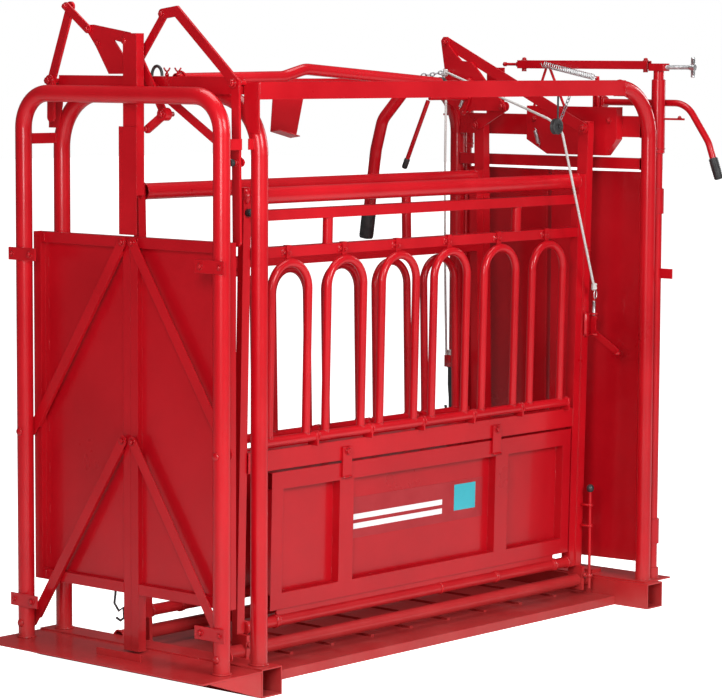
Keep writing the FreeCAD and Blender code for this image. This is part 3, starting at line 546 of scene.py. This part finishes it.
def top_channel_details():
    screws = Piece("channel_wing_screws", "frame", "weld")
    for y in (-89, -143):
        screws.lathe((-1168, y, 2141), (0, 0, 1), [(7, 0), (7, 9), (4, 11), (4, 20)], 16)
        wings = [(-15, 2170), (-7, 2160), (0, 2158), (7, 2160), (15, 2170)]
        screws.tube([(-1168, y + across, height) for across, height in wings], 3, 8)
    screws.done()
    hose = Piece("channel_hose_loop", "frame", "rubber", "black_grip")
    points = []
    for i in range(25):
        angle = math.pi * i / 24
        points.append((-1186, -58 + 25 * math.cos(angle), 2142 + 34 * math.sin(angle)))
    hose.tube(points, 5.5, 12)
    hose.done()


# ---------------------------------------------------------------- tailgate details

def tailgate_details():
    for name, side in (("left", LEFT), ("right", RIGHT)):
        door = f"{name}_tail_door"
        welds = Piece(f"{name}_door_welds", door, "weld")
        for height in (346, 1540):
            for start in range(50, 430, 95):
                welds.bead_line((-1240.6, side * start, height), (-1240.6, side * (start + 32), height), 2)
        for start in range(400, 1500, 150):
            for y in (443, 37):
                welds.bead_line((-1240.6, side * y, start), (-1240.6, side * y, start + 34), 2)
        for y in (37, 443):
            for height in (308, 1540):
                welds.bead_line((-1263.3, side * y, height + 2), (-1263.3, side * y, height + 36), 1.8)
        welds.done()
        bolts = Piece(f"{name}_door_bolts", door, "weld")
        for height in (1559, 856):
            bolts.lathe((-1262, side * 25, height), (-1, 0, 0), [(8, 0), (8, 19.5)], 20)
            bolts.bolt((-1281.2, side * 25, height), (-1, 0, 0), 18)
        bolts.done()
        anchors = Piece(f"{name}_link_bolts", "frame", "weld")
        for height in (853, 150):
            anchors.lathe((-1300, side * LEG_Y, height), (1, 0, 0), [(8, 0), (8, 33)], 20)
            anchors.nut((-1275, side * LEG_Y, height), (1, 0, 0), 18)
            anchors.dome((-1342, side * LEG_Y, height), (-1, 0, 0), 15, 7)
        anchors.done()
    hook = Piece("door_hook", "left_tail_door", "black", "black_grip")
    hook.tube([(-1252, 90, 312), (-1254, 90, 292), (-1253, 96, 262), (-1252, 74, 236), (-1253, 50, 252),
               (-1252, 48, 214), (-1252, 66, 202), (-1252, 86, 210)], 4.5, 10)
    hook.done()
    pivots = Piece("lever_pivot_bolts", "frame", "weld")
    for side in (LEFT, RIGHT):
        pivots.bolt((-1222.6, side * LEVER_Y, LEVER_Z), (-1, 0, 0), 22)
        pivots.lathe((-1201.6, side * LEVER_Y, LEVER_Z), (1, 0, 0),
                     [(13, 0), (14, 1), (14, 10), (13, 11)], 24)
    pivots.lathe((-1226.5, 46, 2263), (1, 0, 0), [(4.8, 0), (4.8, 16)], 16)
    pivots.dome((-1262, 30, 2263), (-1, 0, 0), 12, 6)
    pivots.lathe((-1192, -116, 2009), (1, 0, 0), [(9, 0), (9, 26)], 18)
    pivots.bolt((-1222.4, -116, 2009), (-1, 0, 0), 20)
    pivots.done()
    for body, places in (
            ("left_top_lever", [((-1234, 358, 2386), 17)]),
            ("rocker", [((-1234, 246, 2304), 15), ((-1223.2, 203, 2255), 15)]),
            ("right_top_lever", [((-1212.3, -466, 1850), 17), ((-1212.3, -108, 2357), 17)]),
            ("bell_crank", [((-1212.3, 11, 2207), 17), ((-1212.3, -33, 1956), 17)])):
        pins = Piece(f"{body}_pins", body, "weld")
        for place, across in places:
            pins.bolt(place, (-1, 0, 0), across)
        pins.done()
    shanks = Piece("right_lever_shanks", "right_top_lever", "weld")
    shanks.lathe((-1202, -466, 1850), (1, 0, 0), [(4.8, 0), (4.8, 20)], 16)
    shanks.nut((-1184, -466, 1850), (1, 0, 0), 15)
    shanks.nut((-1192, -108, 2357), (1, 0, 0), 14)
    shanks.done()
    knob = Piece("lever_knob", "right_top_lever", "rubber", "black_grip")
    knob.lathe((-1224, -466, 1850), (-1, 0, 0), [(6, 0), (11, 2), (13, 8), (11, 15), (5, 19), (1, 20)], 22)
    knob.done()
    left_end = Piece("left_lever_hub", "left_top_lever", "red")
    left_end.lathe((-1212, LEVER_Y, LEVER_Z), (-1, 0, 0), [(20, 0), (21, 1), (21, 8), (19, 9)], 28)
    left_end.done()


def tail_handle_details():
    bearing = Piece("handle_bearing", "frame", "red")
    arc = []
    for i in range(19):
        angle = math.pi * i / 18
        arc.append((INNER_HOOP_X, -116 + 26 * math.cos(angle), 2131 + 26 * math.sin(angle)))
    ends = [(INNER_HOOP_X, -90, 2106)] + arc + [(INNER_HOOP_X, -142, 2106)]
    bearing.tube(ends, 4, 10)
    bearing.done()
    cap = Piece("handle_cap", "tail_handle", "rubber", "black_grip")
    cap.lathe((286, -116, 2113.2), (0.9975, 0, -0.0695), [(22, 0), (23, 2), (23, 20), (20, 24), (4, 25)], 28)
    cap.done()
    welds = Piece("flag_welds", "tail_handle", "weld")
    for start in (-640, -580, -520):
        welds.bead_line((start, -117, 2114), (start + 34, -117, 2114), 2.6)
    welds.done()
    flange = Piece("flag_flange", "tail_handle", "red")
    flange.plate([(-668, -118, 1940), (-560, -118, 1915), (-556, -160, 1921), (-664, -160, 1946)],
                 (0.2, 0, 1), 4)
    flange.done()


# ---------------------------------------------------------------- squeeze sides

def side_details(name, side):
    turn = lean(side)
    body = f"{name}_side"
    out = (0, side, 0)
    face = side * 251
    lower = drop(side)
    beams = [(730 - lower, 804 - lower), (1497 - lower, 1535 - lower)]
    posts = [(-517, 1535 - lower), (540, 1535 - lower)]
    if side == RIGHT:
        beams.append((1630, 1668))
        posts = [(-517, 1535), (-517, 1630), (588, 1535), (588, 1630)]
    welds = Piece(f"{name}_side_welds", body, "weld")
    for x in (-938, 966):
        for low, high in beams:
            welds.bead_line((x, side * 216, low), (x, side * 249, low), 2.2)
            welds.bead_line((x, side * 216, high), (x, side * 249, high), 2.2)
            welds.bead_line((x, face, low + 2), (x, face, high - 2), 2.0)
        welds.bead_ring((x, side * 232, 1719), (1, 0, 0), 30.4, 2.4)
    for x, height in posts:
        welds.bead_ring((x, side * 232, height), (0, 0, 1), 19.0, 2.0)
    for number in range(DROP_BARS + 1):
        x = bar_centre(side, number - 0.5)
        welds.bead_line((x, side * 251.5, 804 - lower), (x, side * 277, 804.5 - lower), 2.4)
    welds.bead_line((1006, side * 252, 200), (1006, side * 252, 1740), 1.8)
    welds.done(turn)
    caps = Piece(f"{name}_side_caps", body, "red")
    caps.plate([(1006, side * 207, 1955), (1044, side * 207, 1955),
                (1044, side * 257, 1955), (1006, side * 257, 1955)], (0, 0, 1), 4)
    caps.plate([(-976, side * 219, 1749), (-938, side * 219, 1749),
                (-938, side * 245, 1749), (-976, side * 245, 1749)], (0, 0, 1), 3)
    caps.lathe((-962, side * 232, 1719), (-1, 0, 0), [(29, -1), (30, 2), (26, 10), (14, 14), (2, 15)], 28)
    caps.done(turn)
    collars = Piece(f"{name}_hinge_collars", body, "red")
    for x in (-930, -776, 876, 958):
        collars.lathe((x, side * HINGE_Y, HINGE_Z), (1, 0, 0),
                      [(22, -6), (25.5, -5), (25.5, 5), (22, 6)], 28)
    collars.done(turn)
    clips = Piece(f"{name}_bar_clips", body, "red")
    for number in range(DROP_BARS):
        x = bar_centre(side, number) - 24
        middle = 1515 - lower
        low_y = min(side * 250, side * 254)
        clips.block((x - 10, low_y, middle - 12), (x + 10, low_y + 4, middle + 12))
        clips.bolt((x, side * 254.2, middle), out, 9)
    clips.done(turn)
    bumper = Piece(f"{name}_bumper", body, "rubber", "black_grip")
    bumper.lathe((-957, side * 245, 1663), out, [(13, 0), (14, 1), (14, 16), (9, 24), (2, 25)], 24)
    bumper.done(turn)
    bolts = Piece(f"{name}_side_bolts", body, "weld")
    for height in (1100, 1440):
        bolts.bolt((1025, side * 257.3, height), out, 17)
    for x in (-957, 1025):
        bolts.bolt((x, side * 282.3, 118), out, 17)
    bolts.done(turn)


def panel_details(name, side):
    turn = lean(side)
    body = f"{name}_lower_panel"
    welds = Piece(f"{name}_panel_welds", body, "weld")
    sheet_face = side * 216.3
    bays = ((-751, -443), (-365, 475), (555, 906))
    rails = (275, 656 - drop(side))
    for start, end in bays:
        for height in rails:
            x = start + 20
            while x + 30 < end:
                welds.bead_line((x, sheet_face, height), (x + 30, sheet_face, height), 2)
                x += 120
        for x in (start, end):
            for height in range(300, rails[1] - 20, 110):
                welds.bead_line((x, sheet_face, height), (x, sheet_face, height + 28), 2)
    for x in (-443, -365, 475, 555, -751, 906):
        for height in rails:
            welds.bead_line((x, side * 219, height), (x, side * 250, height), 1.8)
    welds.done(turn)
    rings = Piece(f"{name}_knuckle_rings", body, "red")
    for x in (-764, 157, 492, 503, 863):
        rings.lathe((x, side * HINGE_Y, HINGE_Z), (1, 0, 0), [(21.3, -5), (24, -4), (24, 4), (21.3, 5)], 28)
    rings.done(turn)
    for tag, x in (("rear", -413), ("front", 470)):
        latch = f"{name}_{tag}_panel_latch"
        bolt = Piece(f"{latch}_bolt", latch, "weld")
        bolt.bolt((x, side * 259.6, 763 - drop(side)), (0, side, 0), 20, 8)
        bolt.done(turn)
        lip = Piece(f"{latch}_lip", latch, "red")
        top = 668 - drop(side)
        lip.plate([(x - 24, side * 259, top), (x + 24, side * 259, top),
                   (x + 24, side * 264, top - 5), (x - 24, side * 264, top - 5)], (0, 0, 1), 5)
        lip.done(turn)


def decal():
    """A plain sticker on the panel's sheet: no words, only two bars and a square."""
    turn = lean(RIGHT)
    y = -216.2
    field = Piece("decal_field", "right_lower_panel", "decal")
    field.plate([(-345, y, 420), (438, y, 420), (438, y, 575), (-345, y, 575)], (0, -1, 0), 0.6, 0.2)
    field.done(turn)
    bars = Piece("decal_bars", "right_lower_panel", "decal_white")
    for low, high in ((455, 476), (490, 511)):
        bars.plate([(-339, y - 0.7, low), (191, y - 0.7, low), (191, y - 0.7, high), (-339, y - 0.7, high)],
                   (0, -1, 0), 0.5, 0.2)
    bars.done(turn)
    mark = Piece("decal_mark", "right_lower_panel", "decal_cyan")
    mark.plate([(263, y - 0.7, 458), (393, y - 0.7, 458), (393, y - 0.7, 560), (263, y - 0.7, 560)],
               (0, -1, 0), 0.5, 0.2)
    mark.done(turn)


def drop_bar_details(name, side, number):
    turn = lean(side)
    body = f"{name}_drop_bar_{number + 1}"
    centre = bar_centre(side, number)
    lower = drop(side)
    welds = Piece(f"{body}_welds", body, "weld")
    for leg in (-98, 98):
        welds.bead_ring((centre + leg, side * 264, 855 - lower), (0, 0, 1), 16.0, 2.2)
    welds.bead_line((centre - 12, side * 258, 1490 - lower), (centre + 12, side * 258, 1490 - lower), 2)
    welds.done(turn)
    catch = Piece(f"{body}_catch", body, "red")
    rail_top = 1536 - lower
    low = (centre - 12, min(side * 238, side * 257), rail_top)
    high = (centre + 12, max(side * 238, side * 257), rail_top + 4)
    catch.block(low, high)
    catch.bolt((centre, side * 257.6, 1512 - lower), (0, side, 0), 12)
    catch.done(turn)
    rings = Piece(f"{body}_rings", body, "red")
    for x in (centre - 143, centre + 143):
        rings.lathe((x, side * 264, 838 - lower), (1, 0, 0),
                    [(17.6, -4), (20.0, -3), (20.0, 3), (17.6, 4)], 26)
    rings.done(turn)


# ---------------------------------------------------------------- squeeze drive

def squeeze_details():
    body = "squeeze_ratchet"
    grip = Piece("squeeze_grip", body, "rubber", "black_grip")
    start = Vector((599.5, 514.5, 1580))
    end = Vector((599.5, 529.8, 1474))
    length = (end - start).length
    profile = [(24.5, 0), (27.5, 1), (29, 4)]
    steps = 12
    for i in range(steps):
        base = 6 + (length - 16) * i / steps
        profile += [(28.6, base), (29.6, base + 2), (29.6, base + 5), (28.6, base + 7)]
    profile += [(29, length - 6), (26, length + 1), (12, length + 4), (1, length + 4.5)]
    grip.lathe(start, end - start, profile, 32)
    grip.done()
    hardware = Piece("ratchet_bolts", body, "weld")
    for y, z in ((433, 2272), (128, 2012)):
        hardware.bolt((979.7, y, z), (-1, 0, 0), 20)
        hardware.lathe((990, y, z), (1, 0, 0), [(7.8, 0), (7.8, 16)], 18)
        hardware.nut((1004.3, y, z), (1, 0, 0), 20)
    hardware.done()
    boss = Piece("ratchet_boss", body, "red")
    boss.lathe((979.6, SHAFT_Y, SHAFT_Z), (-1, 0, 0), [(21, 0), (22, 1), (22, 14), (20, 15.5)], 28)
    boss.lathe((626, SHAFT_Y, SHAFT_Z), (1, 0, 0), [(17, 0), (18, 1), (18, 30), (16, 31.5)], 28)
    boss.done()
    welds = Piece("ratchet_welds", body, "weld")
    welds.bead_ring((964, SHAFT_Y, SHAFT_Z), (1, 0, 0), 14, 3)
    welds.bead_ring((624, SHAFT_Y, SHAFT_Z), (1, 0, 0), 16, 3)
    welds.done()
    for name, y in (("right", -278), ("left", 276)):
        tops = Piece(f"{name}_arm_pin", f"{name}_side", "weld")
        tops.lathe((990, y, 1932), (1, 0, 0), [(7.6, 0), (7.6, 17)], 18)
        tops.bolt((990.5, y, 1932), (-1, 0, 0), 20)
        tops.done()
    tip = Piece("release_tip", "release_lever", "rubber", "black_grip")
    tip.lathe((724, 415, 1797.9), (0, 0.4118, -0.9113),
              [(9, 0), (11.5, 2), (12, 6), (12, 38), (10, 43), (2, 45)], 22)
    tip.done()
    pawl = Piece("pawl_pin", "release_lever", "weld")
    pawl.bolt((967.7, 326, 1986), (-1, 0, 0), 14)
    pawl.done()
    spring = Piece("pawl_spring", "release_lever", "zinc", "zinc")
    spring.coil((950, 306, 2044), (950, 330, 1999), 6, 1.2, 8)
    spring.done()


# ---------------------------------------------------------------- head gate

def head_gate_details():
    caps = Piece("gate_pipe_caps", "frame", "red")
    caps.lathe((GATE_X, LEG_Y, 2145), (0, 0, 1), [(21, -2), (22.5, 0), (22, 4), (16, 9), (2, 11)], 28)
    caps.done()
    welds = Piece("gate_frame_welds", "frame", "weld")
    for side in (LEFT, RIGHT):
        for height, radius in ((1833, 24), (2125, 24), (1850, 28.4)):
            welds.bead_ring((GATE_X, side * LEG_Y, height), (0, 0, 1), radius, 2.4)
    welds.done()
    bolts = Piece("gate_cover_bolts", "frame", "weld")
    for y in (-340, -150, 40):
        bolts.bolt((1082.8, y, 1962), (-1, 0, 0), 16)
    bolts.lathe((1226, GATE_LEVER_Y, GATE_LEVER_Z), (1, 0, 0), [(12, 0), (12, 2)], 20)
    bolts.bolt((1217.8, GATE_LEVER_Y, GATE_LEVER_Z), (-1, 0, 0), 20)
    bolts.done()
    spring = Piece("cover_spring", "frame", "zinc", "zinc")
    spring.coil((1074, 30, 1925), (1074, 6, 1852), 7, 1.6, 12)
    spring.done()
    boss = Piece("gate_lever_hub", "gate_lever", "red")
    boss.lathe((1227, GATE_LEVER_Y, GATE_LEVER_Z), (1, 0, 0), [(24, -1), (27, 1), (27, 6), (24, 8)], 28)
    boss.bolt((1271.2, GATE_LEVER_Y, GATE_LEVER_Z), (1, 0, 0), 22)
    boss.done()
    grip = Piece("gate_lever_grip", "gate_lever", "rubber", "black_grip")
    start = Vector((1249, -733, 1817))
    end = Vector((1249, -762, 1737))
    length = (end - start).length
    profile = [(13.6, 0), (17, 1), (18.2, 3)]
    for i in range(9):
        base = 5 + (length - 14) * i / 9
        profile += [(17.6, base), (18.6, base + 2), (18.6, base + 4.5), (17.6, base + 6)]
    profile += [(18, length - 3), (15, length + 1.5), (1, length + 2.5)]
    grip.lathe(start, end - start, profile, 28)
    grip.done()
    thread = Piece("adjusting_thread", "adjusting_screw", "zinc", "zinc")
    turns = []
    for i in range(22 * 14):
        angle = 2 * math.pi * i / 14
        turns.append((GATE_X + 8.2 * math.cos(angle), -532 - 5.0 * i / 14, 2176 + 8.2 * math.sin(angle)))
    thread.tube(turns, 1.1, 5)
    thread.done()
    knobs = Piece("adjusting_wing_ends", "adjusting_screw", "zinc", "zinc")
    for end_z in (2138, 2214):
        knobs.lathe((GATE_X, -661, end_z), (0, 0, 1 if end_z > 2176 else -1),
                    [(7, -6), (8.4, -4), (8.4, 0), (5, 2.5)], 18)
    knobs.done()
    tie = Piece("adjusting_bar_bolts", "adjusting_bar", "weld")
    for y in (190, -430):
        tie.bolt((GATE_X, y, 2201.2), (0, 0, 1), 16)
    tie.nut((GATE_X, 216.4, 2184), (0, 1, 0), 20)
    tie.nut((GATE_X, 286, 2184), (0, 1, 0), 18)
    tie.done()
    for name, side in (("left", LEFT), ("right", RIGHT)):
        gate_door_details(name, side)


def gate_door_details(name, side):
    body = f"{name}_gate_door"
    pivot = Matrix.Translation(Vector((GATE_X, side * LEG_Y, 0)) * MM)
    turn = pivot @ Matrix.Rotation(math.radians(-side * GATE_ANGLE), 4, "Z") @ pivot.inverted()
    welds = Piece(f"{body}_welds", body, "weld")
    for start in range(200, 1720, 105):
        for y in (434.5, 37.5):
            welds.bead_line((1193.4, side * y, start), (1193.4, side * y, start + 34), 2)
    for height in (300, 1640):
        for end in (-50, 50):
            welds.bead_ring((GATE_X, side * LEG_Y, height + end * 0.98), (0, 0, 1), 26.5, 1.8)
    welds.done(turn)
    ribs = Piece(f"{body}_ribs", body, "red")
    for height in (540, 1330):
        ribs.block((1193.2, side * 236 - 198, height), (1214, side * 236 + 198, height + 24))
    ribs.done(turn)


# ---------------------------------------------------------------- ropes, pulley, chains and latches

def rounded_path(points, radii):
    """Many points along straight runs joined by tangent arcs."""
    spots = [Vector(point) for point in points]
    path = [spots[0]]
    for before, corner, after, radius in zip(spots, spots[1:], spots[2:], radii):
        inward = (before - corner).normalized()
        outward = (after - corner).normalized()
        half = inward.angle(outward) / 2
        reach = radius / math.tan(half)
        first = corner + inward * reach
        last = corner + outward * reach
        middle = (inward + outward).normalized()
        centre = corner + middle * (radius / math.sin(half))
        steps = 10
        for i in range(steps + 1):
            arm = (first - centre).slerp(last - centre, i / steps) if i else first - centre
            path.append(centre + arm.normalized() * radius)
    path.append(spots[-1])
    return path


def route_radii(points):
    radii = []
    for before, corner, after in zip(points, points[1:], points[2:]):
        first = Vector(corner) - Vector(before)
        second = Vector(after) - Vector(corner)
        radii.append(0.45 * min(first.length, second.length) / math.tan(first.angle(second) / 2))
    return radii


def rope(name, node, points, radii):
    """A white cord over the CAD tube it stands for."""
    path = rounded_path(points, radii)
    fine = []
    for first, second in zip(path, path[1:]):
        steps = max(1, int((second - first).length / 12))
        fine += [first.lerp(second, i / steps) for i in range(steps)]
    fine.append(path[-1])
    curve = bpy.data.curves.new(name, "CURVE")
    curve.dimensions = "3D"
    curve.bevel_depth = 5 * MM
    curve.bevel_resolution = 4
    curve.use_fill_caps = True
    spline = curve.splines.new("NURBS")
    spline.points.add(len(fine) - 1)
    for point, place in zip(spline.points, fine):
        point.co = (*(place * MM), 1)
    spline.order_u = 3
    spline.use_endpoint_u = True
    curve.materials.append(MATERIALS["rope"])
    obj = bpy.data.objects.new(name, curve)
    bpy.context.scene.collection.objects.link(obj)
    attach(obj, "frame")
    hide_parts(node)


def ropes():
    right = [(958, 412, 2152), (572, -436, 1974), (597, -477, 1926), (1012, -330, 1292)]
    rope("right_release_rope", "right_rope", right, [40, 40])
    # From z 1760 down this stands 6 to 14 mm behind the CAD's left rope, and its end beside its knot.
    left = [(956, 418, 2132), (945, 396, 2040), (915, 374, 1760), (892, 350, 1320), (887, 336, 985)]
    rope("left_release_rope", "left_rope", left, route_radii(left))


def rope_hardware():
    chain = Piece("rail_chain", "frame", "steel", "zinc")
    chain.chain([(870, 466, 2136), (905, 440, 2140), (948, 418, 2150)], 22, 2.6)
    chain.done()
    ring = Piece("rail_ring", "frame", "zinc", "zinc")
    turns = [2 * math.pi * i / 24 for i in range(24)]
    loop = [(958 + 16 * math.cos(a), 418, 2146 + 16 * math.sin(a)) for a in turns]
    ring.tube(loop, 3, 8, closed=True)
    ring.done()
    knots = Piece("rope_knots", "frame", "rope", "rope")
    for centre, radius in (((958, 412, 2148), 11), ((1012, -330, 1296), 12), ((905, 338, 990), 9)):
        for level in (-8, 0, 8):
            knots.bead_ring((centre[0], centre[1], centre[2] + level), (0, 0.3, 1), radius * 0.55, 5)
    knots.done()
    pulley = Piece("pulley_wheel", "frame", "rubber", "black_grip")
    groove = [(26, -1), (31, 0), (31, 3), (22, 7), (22, 11), (31, 15), (31, 18), (24, 19)]
    pulley.lathe((560, -469, 1948), (0, -1, 0), groove, 32)
    pulley.bolt((560, -488, 1948), (0, -1, 0), 16)
    pulley.done()
    hanger = Piece("pulley_chain", "frame", "steel", "zinc")
    hanger.chain([(575, -486, 1975), (595, -492, 2020), (615, -498, 2066)], 18, 1.6)
    hanger.done()


def latch_details():
    snap = Piece("right_snap", "right_latch", "zinc", "zinc")
    turns = [2 * math.pi * i / 24 for i in range(24)]
    loop = [(1044 + 9 * math.cos(a), -312, 1262 + 17 * math.sin(a)) for a in turns]
    snap.tube(loop, 2.6, 8, closed=True)
    snap.lathe((1052, -300, 1176), (0, 0, 1), [(7.2, 0), (7.2, 6), (6.4, 8), (6.4, 60)], 18)
    snap.coil((1052, -300, 1184), (1052, -300, 1236), 7.5, 1.0, 9, hooks=False)
    snap.done()
    foot = Piece("right_latch_pad", "right_latch", "red")
    foot.block((1040, -432, 1026), (1062, -404, 1034))
    foot.bolt((1054.2, -300, 1165), (1, 0, 0), 17)
    foot.done()
    bracket = Piece("right_latch_bracket", "right_side", "red")
    bracket.block((1006, -290, 1100), (1044, -283.5, 1186))
    bracket.block((1036, -326, 1180), (1045, -280, 1188))
    bracket.block((1036, -326, 1096), (1045, -280, 1104))
    bracket.done()
    guides = Piece("latch_rod_guides", "right_side", "red")
    for height in (110, 315, 400):
        guides.block((1026, -314, height), (1046, -250, height + 8))
        guides.lathe((1036, -305, height), (0, 0, 1), [(9, -3), (11, -2), (11, 10), (9, 11)], 20)
    guides.done()
    knob = Piece("latch_rod_knob", "latch_rod", "black", "black_grip")
    ball = [(8, 0), (13, 3), (15, 10), (15.4, 17), (13, 25), (7, 30), (1, 31)]
    knob.lathe((1036, -305, 458), (0, 0, 1), ball, 24)
    knob.done()
    stirrup = Piece("left_latch_handle", "left_latch", "black", "black_grip")
    stirrup.tube([(900, 313, 775), (900, 316, 756), (900, 328, 748), (900, 344, 754), (900, 350, 772)], 6, 10)
    stirrup.bolt((889.2, 322, 940), (1, 0, 0), 17)
    stirrup.done()
    # This plate stands 16 mm behind the latch and cuts into left drop bar 6. The bolt above is sunk in
    # the latch.
    plate = Piece("left_latch_plate", "left_side", "red")
    plate.block((874, 268, 935), (880, 336, 985))
    plate.done()


# ---------------------------------------------------------------- spring over the head gate

def beam_spring():
    """Wire bracket over the upper beam, and the long spring that pulls on it."""
    wire = Piece("beam_wire_bracket", "frame", "red")
    wire.tube([(1158, 112, 1978), (1162, 104, 2010), (1164, 44, 2168), (1164, 34, 2178), (1164, 24, 2168),
               (1162, -56, 2010), (1158, -64, 1978)], 5.5, 12)
    wire.block((1158, -230, 1978), (1164, -212, 2138))
    wire.done()
    spring = Piece("gate_return_spring", "frame", "zinc", "zinc")
    spring.coil((1158, 71, 2188), (1158, -222, 2131), 11, 2.2, 24)
    spring.done()


def dress_machine():
    base_details()
    frame_brackets()
    top_channel_details()
    tailgate_details()
    tail_handle_details()
    for name, side in (("left", LEFT), ("right", RIGHT)):
        side_details(name, side)
        panel_details(name, side)
        for number in range(DROP_BARS):
            drop_bar_details(name, side, number)
    decal()
    squeeze_details()
    head_gate_details()
    ropes()
    rope_hardware()
    latch_details()
    beam_spring()


dress_machine()


# ---------------------------------------------------------------- floor, light and camera

def pale_floor():
    mesh = bpy.data.meshes.new("studio_floor")
    grid = bmesh.new()
    reach = 40
    places = ((-reach, -reach, 0), (reach, -reach, 0), (reach, reach, 0), (-reach, reach, 0))
    corners = [grid.verts.new(place) for place in places]
    grid.faces.new(corners)
    grid.to_mesh(mesh)
    grid.free()
    material, nodes, links, bsdf = new_material("pale_floor")
    cloud = noise(nodes, links, object_place(nodes), 1.5, 3.0)
    shade = ramp(nodes, links, cloud, [(0.3, (0.86, 0.86, 0.86)), (0.7, (0.90, 0.90, 0.90))])
    links.new(shade, bsdf.inputs["Base Color"])
    bsdf.inputs["Roughness"].default_value = 0.7
    bsdf.inputs["Emission Color"].default_value = (1, 1, 1, 1)
    seen = nodes.new("ShaderNodeLightPath").outputs["Is Camera Ray"]
    links.new(arithmetic(nodes, links, "MULTIPLY", seen, 1.2), bsdf.inputs["Emission Strength"])
    mesh.materials.append(material)
    floor = bpy.data.objects.new("studio_floor", mesh)
    bpy.context.scene.collection.objects.link(floor)


def area_light(name, place, target, size, power):
    light = bpy.data.lights.new(name, "AREA")
    light.shape = "RECTANGLE"
    light.size = size[0]
    light.size_y = size[1]
    light.energy = power
    obj = bpy.data.objects.new(name, light)
    obj.location = place
    obj.rotation_euler = (Vector(target) - Vector(place)).to_track_quat("-Z", "Y").to_euler()
    bpy.context.scene.collection.objects.link(obj)


def studio():
    world = bpy.data.worlds.new("studio")
    world.use_nodes = True
    nodes = world.node_tree.nodes
    background = nodes["Background"]
    background.inputs["Color"].default_value = (1, 1, 1, 1)
    seen = nodes.new("ShaderNodeLightPath").outputs["Is Camera Ray"]
    level = nodes.new("ShaderNodeMapRange")
    world.node_tree.links.new(seen, level.inputs["Value"])
    level.inputs["To Min"].default_value = 0.10
    level.inputs["To Max"].default_value = 1.0
    world.node_tree.links.new(level.outputs["Result"], background.inputs["Strength"])
    bpy.context.scene.world = world
    area_light("key", (-1.2, -8.8, 4.8), (0, 0, 1.1), (3.0, 3.0), 570)
    area_light("rear_fill", (-4.6, -2.8, 2.6), (-1.2, 0, 1.0), (1.5, 2.5), 150)
    area_light("front_rim", (8.5, -1.5, 3.5), (0, 0, 1.3), (1.5, 3.5), 170)
    area_light("top", (0, 0, 6.0), (0, 0, 0), (4.0, 3.0), 170)
    bpy.context.scene.view_settings.view_transform = "Standard"


def camera():
    """Long lens from the rear right, a little above the top rail, looking slightly down."""
    yaw = math.radians(48.693)
    pitch = math.radians(5.645)
    roll = math.radians(0.277)
    right = Vector((math.cos(yaw), -math.sin(yaw), 0))
    level = Vector((math.sin(yaw), math.cos(yaw), 0))
    forward = level * math.cos(pitch) - Vector((0, 0, 1)) * math.sin(pitch)
    upward = Vector((0, 0, 1)) * math.cos(pitch) + level * math.sin(pitch)
    turned_right = right * math.cos(roll) + upward * math.sin(roll)
    turned_up = upward * math.cos(roll) - right * math.sin(roll)
    data = bpy.data.cameras.new("photo_camera")
    data.lens = 147.8
    data.sensor_width = 36
    data.clip_end = 200
    obj = bpy.data.objects.new("photo_camera", data)
    basis = Matrix((turned_right, turned_up, -forward)).transposed().to_4x4()
    basis.translation = Vector((-8.538, -7.475, 2.211))
    obj.matrix_world = basis
    bpy.context.scene.collection.objects.link(obj)
    bpy.context.scene.camera = obj


pale_floor()
studio()
camera()
